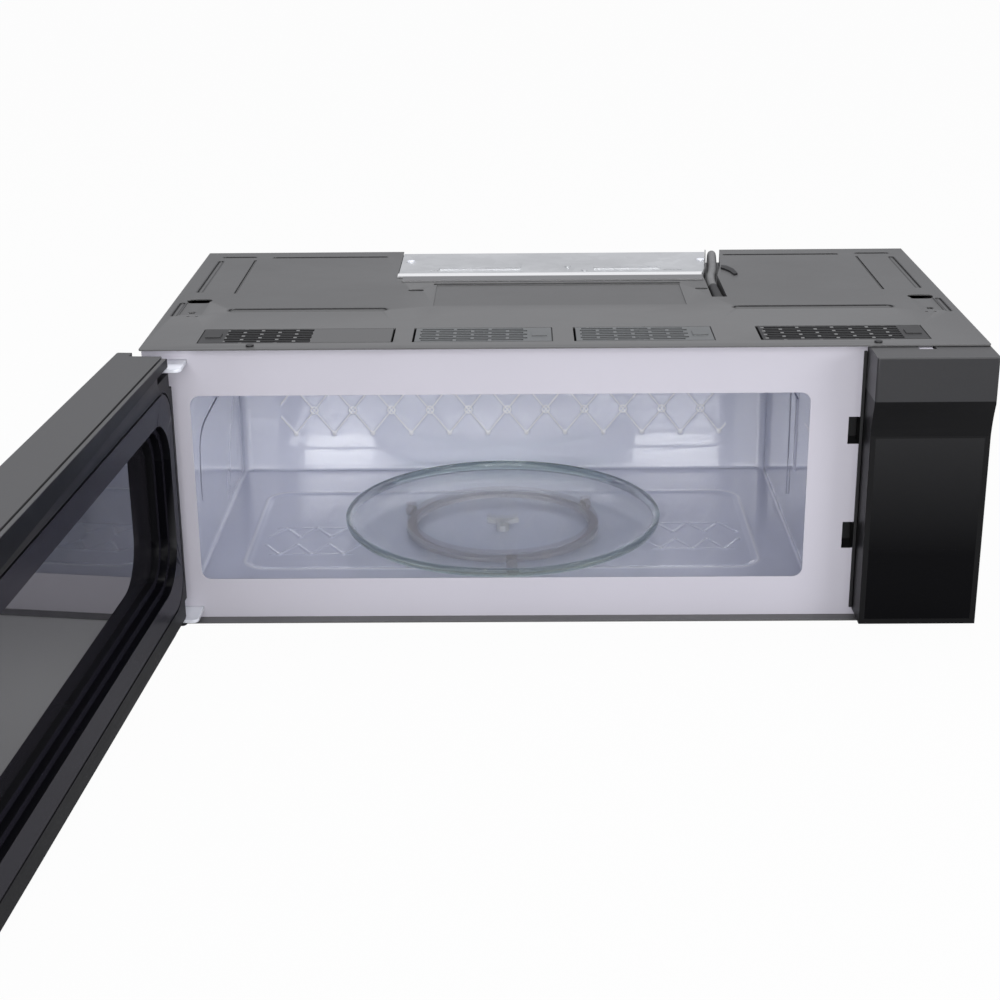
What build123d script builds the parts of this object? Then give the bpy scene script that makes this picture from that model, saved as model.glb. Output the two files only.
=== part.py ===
from build123d import *
import math
import os

# Over the range microwave, low profile, 30 inch class, door standing open.
# Millimetres. +X right, +Y towards the wall, +Z up.
# Origin: middle of the cabinet's bottom face. Heights are measured from that face.
# "depth" below means the distance behind the front edge of the cabinet's top panel.

os.makedirs("parts", exist_ok=True)

# ---- Cabinet -------------------------------------------------------------------------
body_width = 759.0
body_depth = 403.0
body_height = 266.4
sheet = 1.2                  # painted steel sheet
frame_recess = 13.0          # the front frame lies this far behind the top panel's edge
seat = 0.3                   # clearance between pieces that are seated but not joined
running = 0.05               # radial clearance of a shaft in its bore

# ---- Front frame and cavity ------------------------------------------------------------
opening_left = -339.0
opening_width = 563.0
opening_bottom = 39.8
opening_drop = 47.2          # from the cabinet's top to the opening's top edge
opening_corner = 9.0
cavity_margin = 10.0         # the cavity is this much wider than its opening, each side
cavity_depth = 355.8
cavity_floor_height = 25.0
cavity_ceiling_drop = 45.4   # from the cabinet's top to the cavity's ceiling
liner = 1.0                  # enamelled steel of the cavity

# ---- Door and control panel --------------------------------------------------------------
panel_width = 106.8          # control panel
panel_gap = 2.0              # gap between the closed door and the control panel
facia_top_gap = 0.8          # gap between the facias and the top panel's underside
facia_bottom = 7.0
facia_wall = 2.5
panel_brow_depth = -34.5     # depth of the control panel's brow face
door_brow_depth = -35.5      # depth of the closed door's brow face
brow_setback = 10.8          # the lower face lies this far behind the brow
brow_height = 40.0
undercut_height = 35.5
facia_glass = 3.0
facia_glass_margin = 5.0
door_shell_depth = 43.0      # brow face to the shell's rim
choke_rise = 4.8             # the inner frame stands this far past the rim
choke_lip_gap = 1.7          # open joint between the shell's top edge and the inner frame's lip
choke_lip_drop = 0.6         # the lip's top edge lies this far below the shell's top
door_open_angle = 93.85
pivot_inset = 6.9            # hinge pin axis from the door's hinge end
pivot_depth = -9.75
hinge_pin_radius = 2.5
hinge_boss_radius = 4.2
hinge_notch_length = 11.4
hinge_notch_top = 29.4
hinge_notch_bottom = 23.0
hinge_arm_thickness = 3.0
top_arm_drop = 14.0          # from the facias' top to the top hinge arm's underside
bottom_arm_height = 8.9
arm_left = -366.0
arm_right = -339.5
arm_front_depth = -20.0
window_left = -355.5
window_width = 602.5
window_bottom = 57.0
window_drop = 49.4           # from the facias' top to the window's top edge
window_corner = 42.0
window_step = 6.0
inner_glass = 2.0
inner_glass_lift = 14.0      # rear face of the inner glass, behind the outer glass's rear face
screen_sheet = 0.8

# ---- Latch -------------------------------------------------------------------------------
latch_slot_width = 12.0
latch_slot_height = 26.0
latch_slot_bottoms = (68.0, 170.0)
latch_slot_margin = 1.2      # from the slot's right side to the control panel
latch_thickness = 4.0
latch_travel = 5.0
hook_height = 12.0
hook_tooth = 3.6
hook_reach = 18.0            # past the frame's front face when the door is closed

# ---- Turntable ---------------------------------------------------------------------------
turntable_x = -57.4
turntable_depth = 176.7
plate_radius = 160.0
plate_rim_height = 46.5
plate_thickness = 4.4
wheel_radius = 5.5
wheel_width = 7.0
wheel_track = 106.0          # from the turntable's axis to the middle of a wheel
wheel_axle_radius = 1.4
ring_outer = 98.0
ring_inner = 88.0
ring_thickness = 4.0
motor_shaft_radius = 3.5

# ---- Top vents, left to right: left edge, width, latch tab on the left -------------------
vent_depth = 21.0
vent_length = 50.0
vents = {
    "vent_cover_1": (-331.0, 177.5, True),
    "vent_cover_2": (-136.5, 127.5, False),
    "vent_cover_3": (10.0, 127.5, False),
    "vent_cover_4": (178.0, 153.0, False),
}
vent_gap = 1.2
vent_hinge_gap = 2.2
vent_rod_radius = 1.5
vent_rows = 7
vent_slot_height = 4.2
vent_slot_pitch = 32.0
vent_bridge = 3.0
vent_duct_height = 24.0
vent_edge_width = 4.0
vent_tab_width = 22.0
vent_plain_width = 73.0      # the first cover is plain over this width beside its hinge

# ---- Cord --------------------------------------------------------------------------------
cord_diameter = 9.5
coil_radius = 53.0
coil_turns = 1.25
coil_pitch = 11.0
coil_lift = 1.1              # the tie under the coil
cord_channel_drop = 13.0
cord_channel_half = 7.5

# ---- Worked out --------------------------------------------------------------------------
front = -body_depth / 2
half = body_width / 2
facia_top = body_height - sheet - facia_top_gap
panel_left = half - 0.2 - panel_width
door_right = panel_left - panel_gap
door_left = -half
lower_panel_depth = panel_brow_depth + brow_setback
lower_door_depth = door_brow_depth + brow_setback
brow_foot = facia_top - brow_height
undercut_foot = brow_foot - undercut_height
door_rim_depth = door_brow_depth + door_shell_depth
choke_depth = door_rim_depth + choke_rise
opening_right = opening_left + opening_width
opening_top = body_height - opening_drop
cavity_left = opening_left - cavity_margin
cavity_right = opening_right + cavity_margin
cavity_front_depth = frame_recess + sheet
cavity_back_depth = cavity_front_depth + cavity_depth
pivot_x = door_left + pivot_inset
pivot_y = front + pivot_depth
turntable_y = front + turntable_depth
plate_underside = cavity_floor_height + 2 * wheel_radius
inside_top = body_height - sheet
cavity_ceiling_height = body_height - cavity_ceiling_drop
top_arm_height = facia_top - top_arm_drop
window_top = facia_top - window_drop


def slab(x0, x1, d0, d1, z0, z1):
    """Box between two x positions, two depths and two heights."""
    size = Box(x1 - x0, d1 - d0, z1 - z0)
    return Pos((x0 + x1) / 2, front + (d0 + d1) / 2, (z0 + z1) / 2) * size


def upright(x, depth, z0, z1, radius):
    """Vertical cylinder."""
    return Pos(x, front + depth, (z0 + z1) / 2) * Cylinder(radius, z1 - z0)


def along_x(x0, x1, depth, z, radius):
    """Cylinder along X."""
    return Pos((x0 + x1) / 2, front + depth, z) * Rot(0, 90, 0) * Cylinder(radius, x1 - x0)


def along_y(x, d0, d1, z, radius):
    """Cylinder along Y."""
    return Pos(x, front + (d0 + d1) / 2, z) * Rot(90, 0, 0) * Cylinder(radius, d1 - d0)


def rounded_wall(x0, x1, z0, z1, d0, d1, radius):
    """Plate facing the front, with rounded corners."""
    outline = RectangleRounded(x1 - x0, z1 - z0, radius)
    place = Plane(origin=((x0 + x1) / 2, front + d1, (z0 + z1) / 2), x_dir=(1, 0, 0), z_dir=(0, -1, 0))
    return extrude(place * outline, amount=d1 - d0)


def lying_slot(x0, x1, d0, d1, z0, z1):
    """Vertical-sided slot with round ends, lying in the top, longer way first."""
    length, width = x1 - x0, d1 - d0
    if length >= width:
        outline = SlotOverall(length, width)
    else:
        outline = Rot(0, 0, 90) * SlotOverall(width, length)
    place = Pos((x0 + x1) / 2, front + (d0 + d1) / 2, z0)
    return extrude(place * outline, amount=z1 - z0)


def bar_along_x(edges, x0, x1):
    """Extrude an outline of (depth, height) edges along X."""
    face = Plane.YZ.offset(x0) * make_face(edges)
    return Pos(0, front, 0) * extrude(face, amount=x1 - x0, dir=(1, 0, 0))


def polygon_plate(points, z0, z1):
    """Level plate with corners given as (x, depth)."""
    corners = [(x, front + depth) for x, depth in points]
    face = Pos(0, 0, z0) * make_face(Polyline(*corners, close=True))
    return extrude(face, amount=z1 - z0, dir=(0, 0, 1))


def mirrored(shape):
    """A shape and its mirror image across the middle of the cabinet."""
    return shape + mirror(shape, Plane.YZ)


def save(name, shape):
    export_step(shape, f"parts/{name}.step")


# ---- Cabinet sheets ----------------------------------------------------------------------
mount_x = 354.5
mount_depth = 138.0
mount_thread_radius = 3.175
mount_bar_thickness = 6.0
pocket_width = 25.0
pocket_slot_depths = (176.0, 190.0)
pocket_recess_front = 126.0
press_depth = 0.9            # pressed beads in the top panel
bead_width = 5.0
front_bead_width = 11.0
screw_x = 281.0
screw_depth = 10.0
screw_radius = 1.9
screw_head_radius = 3.6
screw_head = 1.6
screw_length = 5.0
channel_front = 186.0
channel_line = ((158.0, channel_front), (158.0, 279.0), (165.0, 321.0), (173.0, body_depth))
plate_front = 257.0
plate_back = body_depth - 6.0
plate_left = -165.0
plate_right = 167.0
plate_gap = 1.5              # between the blower plate and the cord channel
plate_sink = 2.6             # the plate's underside lies this far under the top face
blower_hole_front = 288.0
blower_sheet = 1.5


def top_beads():
    """Grooves pressed into the top panel, right-hand half."""
    top = body_height
    floor = top - press_depth
    grooves = lying_slot(182, 306, 375, 375 + bead_width, floor, top)
    grooves += lying_slot(167, 320, 138, 138 + front_bead_width, floor, top)
    grooves += lying_slot(325, 361, 378, 378 + bead_width, floor, top)
    grooves += lying_slot(358, 358 + bead_width, 218, 363, floor, top)
    grooves += lying_slot(367, 367 + bead_width, 122, 175, floor, top)
    grooves += lying_slot(323, 325, 213, 366, floor, top)
    return grooves


def channel_outline(grow):
    """Plan of the cord channel in the top, as (x, depth) corners."""
    reach = cord_channel_half + grow
    left = [(x - reach, depth) for x, depth in channel_line]
    right = [(x + reach, depth) for x, depth in channel_line]
    left[0] = (left[0][0], channel_front - grow)
    right[0] = (right[0][0], channel_front - grow)
    return left + right[::-1]


def blower_outline(gap, depth0, depth1):
    """Plan of the blower plate, or of its opening, as (x, depth) corners."""
    reach = cord_channel_half + plate_gap - gap
    middle = [(x - reach, depth) for x, depth in channel_line[1:3]]
    (x_last, depth_last), (x_next, depth_next) = channel_line[2:]
    share = (depth1 - depth_last) / (depth_next - depth_last)
    x_end = x_last + (x_next - x_last) * share - reach
    start_x = channel_line[0][0] - reach
    right = [(x_end, depth1), middle[1]]
    if depth0 < middle[0][1]:
        right += [middle[0], (start_x, depth0)]
    else:
        right += [(start_x + 1.5, depth0)]
    return [(plate_left - gap, depth0), (plate_left - gap, depth1)] + right


def vent_opening(name):
    """Left and right edges of a vent's opening in the top panel."""
    left, width, _ = vents[name]
    return left, left + width


def top_panel():
    panel = slab(-half, half, 0, body_depth, inside_top, body_height)
    panel = panel.fillet(3.0, panel.edges().filter_by(Axis.Z).group_by(Axis.Y)[0])
    for name in vents:
        left, right = vent_opening(name)
        panel -= slab(left, right, vent_depth, vent_depth + vent_length, inside_top, body_height)
    panel -= polygon_plate(channel_outline(0), inside_top, body_height)
    panel -= polygon_plate(blower_outline(0.5, blower_hole_front, body_depth), inside_top, body_height)
    panel -= mirrored(top_beads())
    pocket = lying_slot(
        mount_x - pocket_width / 2, mount_x + pocket_width / 2, *pocket_slot_depths, inside_top, body_height)
    pocket += slab(
        mount_x - 11, mount_x + 11, pocket_recess_front, pocket_slot_depths[0] + 2,
        body_height - press_depth, body_height)
    pocket += upright(mount_x, mount_depth, inside_top, body_height, mount_thread_radius + 0.8)
    pocket += upright(mount_x - 7, mount_depth - 17, inside_top, body_height, 1.6)
    pocket += upright(mount_x + 1, mount_depth - 17, inside_top, body_height, 1.6)
    pocket += upright(screw_x, screw_depth, inside_top, body_height, screw_radius)
    panel -= mirrored(pocket)
    panel -= slab(-123, 123, 156, 243, body_height - press_depth, body_height)
    panel -= slab(-126, 124, 244, 251, inside_top, body_height)
    panel -= lying_slot(-151, -135, 218, 225, inside_top, body_height)
    panel -= lying_slot(137, 150, 218, 225, inside_top, body_height)
    return panel + cord_channel()


def side_panel(side):
    """Side sheet with a flange turned in along its front edge."""
    outer = side * half
    inner = outer - side * sheet
    flange = inner - side * 9.0
    wall = slab(min(outer, inner), max(outer, inner), frame_recess + sheet, body_depth, sheet, inside_top)
    lip = slab(min(inner, flange), max(inner, flange), frame_recess + sheet,
               frame_recess + 2 * sheet, sheet, inside_top)
    return wall + lip


def back_panel():
    x = half - sheet
    back = body_depth
    panel = slab(-x, x, back - sheet, back, sheet, inside_top)
    panel -= slab(plate_left - 1, channel_line[-1][0] + cord_channel_half + 2, back - sheet, back,
                  inside_top - cord_channel_drop - sheet, inside_top)
    for x_hook in (-250.0, 250.0):
        panel -= slab(x_hook - 20, x_hook + 20, back - sheet, back, 14, 22)
    for column in range(6):
        for row in range(5):
            panel -= slab(262 + 16 * column, 274 + 16 * column, back - sheet, back,
                          132 + 18 * row, 138 + 18 * row)
    return panel


# ---- Underside ---------------------------------------------------------------------------
filter_opening_width = 200.0
filter_opening_length = 110.0
filter_inner_edge = 105.0
filter_front_depth = 235.0
filter_lip = 9.0
filter_outer_lip = 1.0
filter_slide = 9.4
filter_thickness = 8.0
lamp_width = 120.0
lamp_length = 46.0
lamp_depth = 60.0
lamp_glass = 3.0


def base_panel():
    base = slab(-half, half, 0, body_depth, 0, sheet)
    for side in (-1, 1):
        a = side * filter_inner_edge
        b = side * (filter_inner_edge + filter_opening_width)
        base -= slab(min(a, b), max(a, b), filter_front_depth,
                     filter_front_depth + filter_opening_length, 0, sheet)
    base -= slab(-lamp_width / 2, lamp_width / 2, lamp_depth, lamp_depth + lamp_length, 0, sheet)
    for x_row in (-330, 330):
        for column in range(8):
            base -= slab(x_row - 20, x_row + 20, 60 + 12 * column, 66 + 12 * column, 0, sheet)
    return base + filter_rails()


def grease_filter(side):
    """Framed mesh filter that lies on the base panel over its opening."""
    inner = side * (filter_inner_edge - filter_lip + seat)
    outer = side * (filter_inner_edge + filter_opening_width + filter_outer_lip)
    x0, x1 = min(inner, outer), max(inner, outer)
    d0 = filter_front_depth - 5.0
    d1 = filter_front_depth + filter_opening_length + 5.0
    z0 = sheet + seat
    z1 = z0 + filter_thickness
    body = slab(x0, x1, d0, d1, z0, z1)
    body -= slab(x0 + 9, x1 - 9, d0 + 9, d1 - 9, z0, z0 + 2)
    body -= slab(x0 + 9, x1 - 9, d0 + 9, d1 - 9, z1 - 2, z1)
    pull_x = side * (filter_inner_edge + filter_opening_width - 30)
    body += slab(pull_x - 8, pull_x + 8, filter_front_depth + 48, filter_front_depth + 62, z0 + 0.6, z0 + 2)
    return body


def filter_rails():
    """Angle rails on the base panel that keep the grease filters in line and down."""
    rails = None
    for side in (-1, 1):
        x0 = side * (filter_inner_edge - filter_lip)
        x1 = side * (filter_inner_edge + filter_opening_width + filter_outer_lip + filter_slide)
        x0, x1 = min(x0, x1), max(x0, x1)
        for edge, way in ((filter_front_depth - 5 - seat, -1), (filter_front_depth + filter_opening_length + 5 + seat, 1)):
            wall = slab(x0, x1, min(edge, edge + way * sheet), max(edge, edge + way * sheet),
                        sheet, sheet + filter_thickness + 3 * seat)
            cap_a, cap_b = edge + way * sheet, edge - way * 4
            cap = slab(x0, x1, min(cap_a, cap_b), max(cap_a, cap_b),
                       sheet + filter_thickness + 3 * seat, 2 * sheet + filter_thickness + 3 * seat)
            rail = wall + cap
            rails = rail if rails is None else rails + rail
    return rails


def lamp_lens():
    edge = 0.5
    lens = slab(-lamp_width / 2 + edge, lamp_width / 2 - edge, lamp_depth + edge,
                lamp_depth + lamp_length - edge, 0.2, sheet)
    lens += slab(-lamp_width / 2 - 5, lamp_width / 2 + 5, lamp_depth - 5,
                 lamp_depth + lamp_length + 5, sheet, sheet + lamp_glass)
    return lens


def lamp_boards():
    """Reflector box over the lens, with the lamp board inside its roof."""
    x = lamp_width / 2 + 5
    d0, d1 = lamp_depth - 5, lamp_depth + lamp_length + 5
    z0 = sheet + lamp_glass
    box = slab(-x, x, d0, d1, z0, z0 + 16)
    box -= slab(-x + 1.5, x - 1.5, d0 + 1.5, d1 - 1.5, z0, z0 + 14.5)
    for index in range(6):
        box += slab(-50 + 18 * index, -44 + 18 * index, lamp_depth + 20, lamp_depth + 26, z0 + 13, z0 + 15)
    return box


# ---- Front frame -------------------------------------------------------------------------
frame_flange_front = 8.2
tab_left = 315.0             # tab of the frame that holds the control panel's top
tab_right = 327.0
facia_tab_reach = 6.0


def latch_slot_span():
    right = panel_left - latch_slot_margin
    return right - latch_slot_width, right


def front_frame():
    plate = slab(-half, half, frame_recess, frame_recess + sheet, sheet, inside_top)
    plate += slab(door_left + 1, panel_left - 2, frame_flange_front, frame_recess, inside_top - sheet, inside_top)
    plate += slab(tab_left, tab_right, -facia_tab_reach, frame_recess, inside_top - 2 * sheet, inside_top - sheet)
    plate -= upright(-screw_x, screw_depth, inside_top - sheet, inside_top, screw_radius)
    plate -= rounded_wall(opening_left, opening_right, opening_bottom, opening_top,
                          frame_recess, frame_recess + sheet, opening_corner)
    plate -= slab(panel_left + 12, half - 14, frame_recess, frame_recess + sheet, 22, inside_top - 16)
    x0, x1 = latch_slot_span()
    for bottom in latch_slot_bottoms:
        plate -= slab(x0, x1, frame_recess, frame_recess + sheet, bottom, bottom + latch_slot_height)
    for height in (top_arm_height, bottom_arm_height):
        plate -= slab(arm_left - 3 * seat, arm_right + seat, frame_recess, frame_recess + sheet,
                      height - seat, height + hinge_arm_thickness + seat)
    return plate


hinge_tab_trim = 12.0        # the tab stays clear of the cavity's left wall


def hinge_bracket(height, tab_rise):
    """Level arm that carries the door's pin, with a tab screwed behind the frame."""
    z0, z1 = height, height + hinge_arm_thickness
    eye = 6.3
    points = [
        (arm_left, frame_recess + sheet),
        (arm_right, frame_recess + sheet),
        (arm_right, arm_front_depth),
        (pivot_x, pivot_depth - eye),
        (pivot_x, pivot_depth + eye),
    ]
    arm = polygon_plate(points, z0, z1)
    corner = arm.edges().filter_by(Axis.Z).sort_by_distance((arm_right, front + arm_front_depth, z0))[0]
    arm = arm.fillet(6.0, [corner])
    arm += upright(pivot_x, pivot_depth, z0, z1, eye)
    arm -= upright(pivot_x, pivot_depth, z0, z1, hinge_pin_radius + running)
    d0 = frame_recess + sheet
    tab = slab(arm_left, arm_right - hinge_tab_trim, d0, d0 + 2.5, min(z0, z1 + tab_rise), max(z1, z0 + tab_rise))
    return arm + tab


# ---- Cavity ------------------------------------------------------------------------------
def cavity():
    """Cavity box of thin sheet, open at the front."""
    x0, x1 = cavity_left - liner, cavity_right + liner
    d0, d1 = cavity_front_depth, cavity_back_depth
    z0, z1 = cavity_floor_height, cavity_ceiling_height
    left = slab(x0, cavity_left, d0, d1, z0, z1)
    right = slab(cavity_right, x1, d0, d1, z0, z1)
    right -= slab(cavity_right, x1, antenna_depth - 45, antenna_depth + 45, antenna_height - 45, antenna_height + 15)
    roof = slab(x0, x1, d0, d1, z1, z1 + liner)
    back = slab(x0, x1, d1, d1 + liner, z0 - liner, z1 + liner)
    floor = slab(x0, x1, d0, d1, z0 - liner, z0)
    floor -= upright(turntable_x, turntable_depth, z0 - liner, z0, 8.0)
    return left + right + roof + back + floor


def waveguide_cover():
    return slab(cavity_right - liner, cavity_right, antenna_depth - 52, antenna_depth + 52,
                antenna_height - 52, antenna_height + 22)


lamp_box_depth = 60.0
lamp_box_height = 42.0


def cavity_lamp():
    x0 = cavity_right + liner
    top = cavity_ceiling_height - 7
    lamp = slab(x0, x0 + 20, lamp_box_depth, lamp_box_depth + 40, top - lamp_box_height, top)
    lamp += along_x(x0 + 20, x0 + 34, lamp_box_depth + 20, top - lamp_box_height / 2, 12)
    return lamp


# ---- Parts behind the control panel --------------------------------------------------------
antenna_depth = 200.0
antenna_height = 150.0
antenna_radius = 8.0
waveguide_width = 30.0
waveguide_wall = 1.5
magnetron_half = 45.0        # half the side of its square end plates
magnetron_length = 65.0


def waveguide():
    x0 = cavity_right + liner
    w = waveguide_wall
    d0, d1 = antenna_depth - 55, antenna_depth + 55
    z0, z1 = antenna_height - 55, antenna_height + 55
    duct = slab(x0, x0 + waveguide_width, d0, d1, z0, z1)
    duct -= slab(x0, x0 + waveguide_width - w, d0 + w, d1 - w, z0 + w, z1 - w)
    duct -= along_x(x0 + waveguide_width - 2, x0 + waveguide_width, antenna_depth, antenna_height,
                    antenna_radius + 5)
    return duct


def magnetron():
    x0 = cavity_right + liner + waveguide_width
    x1 = x0 + magnetron_length
    d, z, h = antenna_depth, antenna_height, magnetron_half
    body = slab(x0, x0 + 3, d - h, d + h, z - h, z + h)
    body += slab(x1 - 3, x1, d - h, d + h, z - h, z + h)
    body += along_x(x0, x1, d, z, 24)
    body += along_x(x0 - 18, x0, d, z, antenna_radius)
    fin = h - 7
    for index in range(6):
        start = x0 + 12 + 8 * index
        body += slab(start, start + sheet, d - fin, d + fin, z - fin, z + fin)
    return body


transformer_x = 307.0
transformer_depth = 100.0
transformer_half = 45.0
capacitor_x = 345.0
capacitor_depth = 300.0
capacitor_height = 78.0


def hv_transformer():
    z0 = sheet
    d0, d1 = transformer_depth - 40, transformer_depth + 40
    core = slab(transformer_x - transformer_half, transformer_x + transformer_half, d0, d1, z0, z0 + 62)
    for side in (-1, 1):
        x = transformer_x + side * 22.5
        core -= slab(x - 7.5, x + 7.5, d0, d1, z0 + 16, z0 + 46)
    winding = slab(transformer_x - 30 + seat, transformer_x + 30 - seat, d0 - 12, d0, z0 + 16 + seat, z0 + 46 - seat)
    feet = slab(transformer_x - 52, transformer_x + 52, d0 + 2, d1 - 2, z0, z0 + 2)
    return core + winding + feet


def hv_capacitor():
    outline = Rot(0, 0, 90) * SlotOverall(90, 44)
    can = extrude(Pos(capacitor_x, front + capacitor_depth, sheet) * outline, amount=capacitor_height)
    for depth in (capacitor_depth - 17, capacitor_depth + 17):
        can += slab(capacitor_x - 6, capacitor_x + 6, depth - 3, depth + 3,
                    sheet + capacitor_height, sheet + capacitor_height + 10)
    return can


fan_x = 308.0
fan_height = 172.0
fan_radius = 46.0
fan_shaft_radius = 2.5


def cooling_fan_housing():
    back = body_depth - sheet
    ring = slab(fan_x - 54, fan_x + 54, back - 26, back, fan_height - 54, fan_height + 54)
    ring -= along_y(fan_x, back - 26, back, fan_height, fan_radius + 2)
    strut = slab(fan_x - 52, fan_x + 52, back - 26, back - 20, fan_height - 7, fan_height + 7)
    motor = along_y(fan_x, back - 48, back - 20, fan_height, 20)
    shaft = along_y(fan_x, back - 20, back - 3, fan_height, fan_shaft_radius)
    return ring + strut + motor + shaft


def cooling_fan():
    back = body_depth - sheet
    hub = along_y(fan_x, back - 17, back - 4, fan_height, 12)
    fan = hub
    for index in range(7):
        blade = Box(3.0, 10.0, fan_radius - 10)
        place = Pos(fan_x, front + back - 10.5, fan_height) * Rot(0, 360 * index / 7, 0)
        fan += place * Pos(0, 0, 10 + (fan_radius - 10) / 2) * Rot(0, 0, 35) * blade
    fan -= along_y(fan_x, back - 17, back - 3, fan_height, fan_shaft_radius + running)
    return fan


def latch_bracket():
    """Moulded catch block behind the frame's two latch slots."""
    x0, x1 = latch_slot_span()
    d0 = frame_recess + sheet
    z0 = latch_slot_bottoms[0] - 10
    z1 = latch_slot_bottoms[1] + latch_slot_height + 10
    block = slab(x0 - 3, x1 + 3, d0, d0 + 26, z0, z1)
    for bottom in latch_slot_bottoms:
        block -= slab(x0, x1, d0, d0 + 24, bottom - 0.2, bottom + latch_slot_height)
    return block


def interlock_switches():
    x0 = latch_slot_span()[1] + 3
    d0 = frame_recess + sheet + 4
    group = None
    for height in (80.0, 118.0, 182.0):
        switch = slab(x0, x0 + 7, d0, d0 + 18, height, height + 28)
        switch += slab(x0 + 2, x0 + 5, d0 + 18, d0 + 24, height + 4, height + 8)
        switch += slab(x0 + 2, x0 + 5, d0 + 18, d0 + 24, height + 20, height + 24)
        group = switch if group is None else group + switch
    return group


def control_board():
    """Circuit board on four posts inside the control panel."""
    left, right = panel_left + 12, half - 14
    d0 = lower_panel_depth + facia_glass + 9
    board = slab(left, right, d0, d0 + 1.6, 40, 180)
    board += slab(left + 12, left + 44, d0 + 1.6, d0 + 20, 60, 96)
    board += slab(left + 52, left + 68, d0 + 1.6, d0 + 17, 110, 126)
    board += slab(left + 52, left + 68, d0 + 1.6, d0 + 17, 132, 148)
    for x in (left + 4, right - 4):
        for z in (46, 174):
            board += along_y(x, lower_panel_depth + facia_glass + seat, d0, z, 2.5)
    return board


def turntable_motor():
    top = cavity_floor_height - liner
    motor = upright(turntable_x, turntable_depth, top - 19, top, 24.5)
    motor += slab(turntable_x - 31, turntable_x + 31, turntable_depth - 5, turntable_depth + 5,
                  top - 1.2, top)
    motor += upright(turntable_x, turntable_depth, top, cavity_floor_height + 6, motor_shaft_radius)
    return motor


# ---- Blower ------------------------------------------------------------------------------
blower_x = 0.0
blower_wheel_radius = 46.0
blower_wheel_height = 24.0
blower_front_gap = 5.0       # from the wheel to the shell's front face
blower_rear_gap = 12.3       # from the wheel to the inside of the shell's rear wall
blower_shell_drop = 42.4     # from the cabinet's top to the shell's underside
blower_shell_half = 150.0
blower_shell_wall = 1.2
blower_depth = body_depth - sheet - seat - blower_shell_wall - blower_rear_gap - blower_wheel_radius
blower_shell_front = blower_depth - blower_wheel_radius - blower_front_gap
blower_shell_bottom = body_height - blower_shell_drop
blower_intake_radius = 36.0
plate_boss_radius = 3.0
plate_slot_depth = 311.0
plate_stud_x = 155.5
plate_stud_depth = 357.0
plate_stud_radius = 4.5
blower_shaft_radius = 3.0
blower_motor_radius = 30.0
blower_motor_height = 11.0


def blower_plate():
    """Galvanised plate over the blower, its front edge rolled over the top panel."""
    low = body_height - plate_sink
    high = body_height + seat
    s = blower_sheet
    bend = blower_hole_front + 1.0
    outline = Polyline(
        (plate_front, high), (plate_front, high + s), (bend, high + s), (bend + 8, low + s),
        (plate_back, low + s), (plate_back, low), (bend + 7.2, low), (bend - 0.8, high), close=True)
    plate = bar_along_x(outline, plate_left, plate_right)
    plate &= polygon_plate(blower_outline(0, plate_front, plate_back), low - 1, high + s + 1)
    for x in (-plate_stud_x, plate_stud_x):
        plate += upright(x, plate_stud_depth, low + s, low + s + 1.2, plate_stud_radius)
    for x0, x1 in ((-133, -124), (112, 132)):
        plate -= lying_slot(x0, x1, plate_slot_depth, plate_slot_depth + 4, low - 1, high + s)
    plate -= slab(plate_left, plate_left + 6, plate_front, plate_front + 18, low, high + s)
    for x0, x1 in ((-124, -34), (38, 110)):
        for depth in (316.0, 322.0):
            plate += lying_slot(x0, x1, depth, depth + 3, low + s, low + s + 1.0)
    plate += slab(-37, 39, 296, 346, low + s, low + s + 1.2)
    for x, depth in ((12, 322), (29, 304)):
        plate += upright(x, depth, low + s, low + s + 2.6, plate_boss_radius)
    return plate


def blower_housing():
    """Flat fan shell hung under the blower plate, with its intake in the floor."""
    top = body_height - plate_sink
    back = body_depth - sheet - seat
    wall = blower_shell_wall
    shell = slab(-blower_shell_half, blower_shell_half, blower_shell_front, back, blower_shell_bottom, top)
    shell -= slab(-blower_shell_half + wall, blower_shell_half - wall, blower_shell_front + wall,
                  back - wall, blower_shell_bottom + wall, top - wall)
    shell -= upright(blower_x, blower_depth, blower_shell_bottom, blower_shell_bottom + wall, blower_intake_radius)
    for side in (-1, 1):
        a, b = side * 96, side * (blower_shell_half - 10)
        shell -= slab(min(a, b), max(a, b), blower_shell_front, blower_shell_front + wall,
                      blower_shell_bottom + 6, top - 6)
        tongue = Box(70, wall, top - blower_shell_bottom - 2 * wall)
        place = Pos(side * 92, front + blower_depth, (top + blower_shell_bottom) / 2)
        shell += place * Rot(0, 0, side * 55) * tongue
    return shell


def blower_motor():
    """Flat motor under the shell's roof, its shaft pointing down."""
    top = body_height - plate_sink - blower_shell_wall
    low = top - blower_motor_height
    motor = upright(blower_x, blower_depth, low, top, blower_motor_radius)
    motor += upright(blower_x, blower_depth, blower_shell_bottom + 5, low, blower_shaft_radius)
    return motor


def blower_wheel():
    """Squirrel-cage wheel round the motor's shaft."""
    low = blower_shell_bottom + 3.0
    high = low + blower_wheel_height
    r = blower_wheel_radius
    wheel = upright(blower_x, blower_depth, low + 8, low + 10, r)
    wheel += upright(blower_x, blower_depth, low + 3, low + 16, 8)
    for z in (low, high - 2):
        wheel += upright(blower_x, blower_depth, z, z + 2, r) - upright(blower_x, blower_depth, z, z + 2, r - 8)
    for index in range(24):
        blade = Pos(r - 4, 0, 0) * Rot(0, 0, 30) * Box(7.0, 1.0, blower_wheel_height - 1)
        wheel += Pos(blower_x, front + blower_depth, (low + high) / 2) * Rot(0, 0, 360 * index / 24) * blade
    wheel -= upright(blower_x, blower_depth, low, low + 17, blower_shaft_radius + running)
    return wheel


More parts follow.
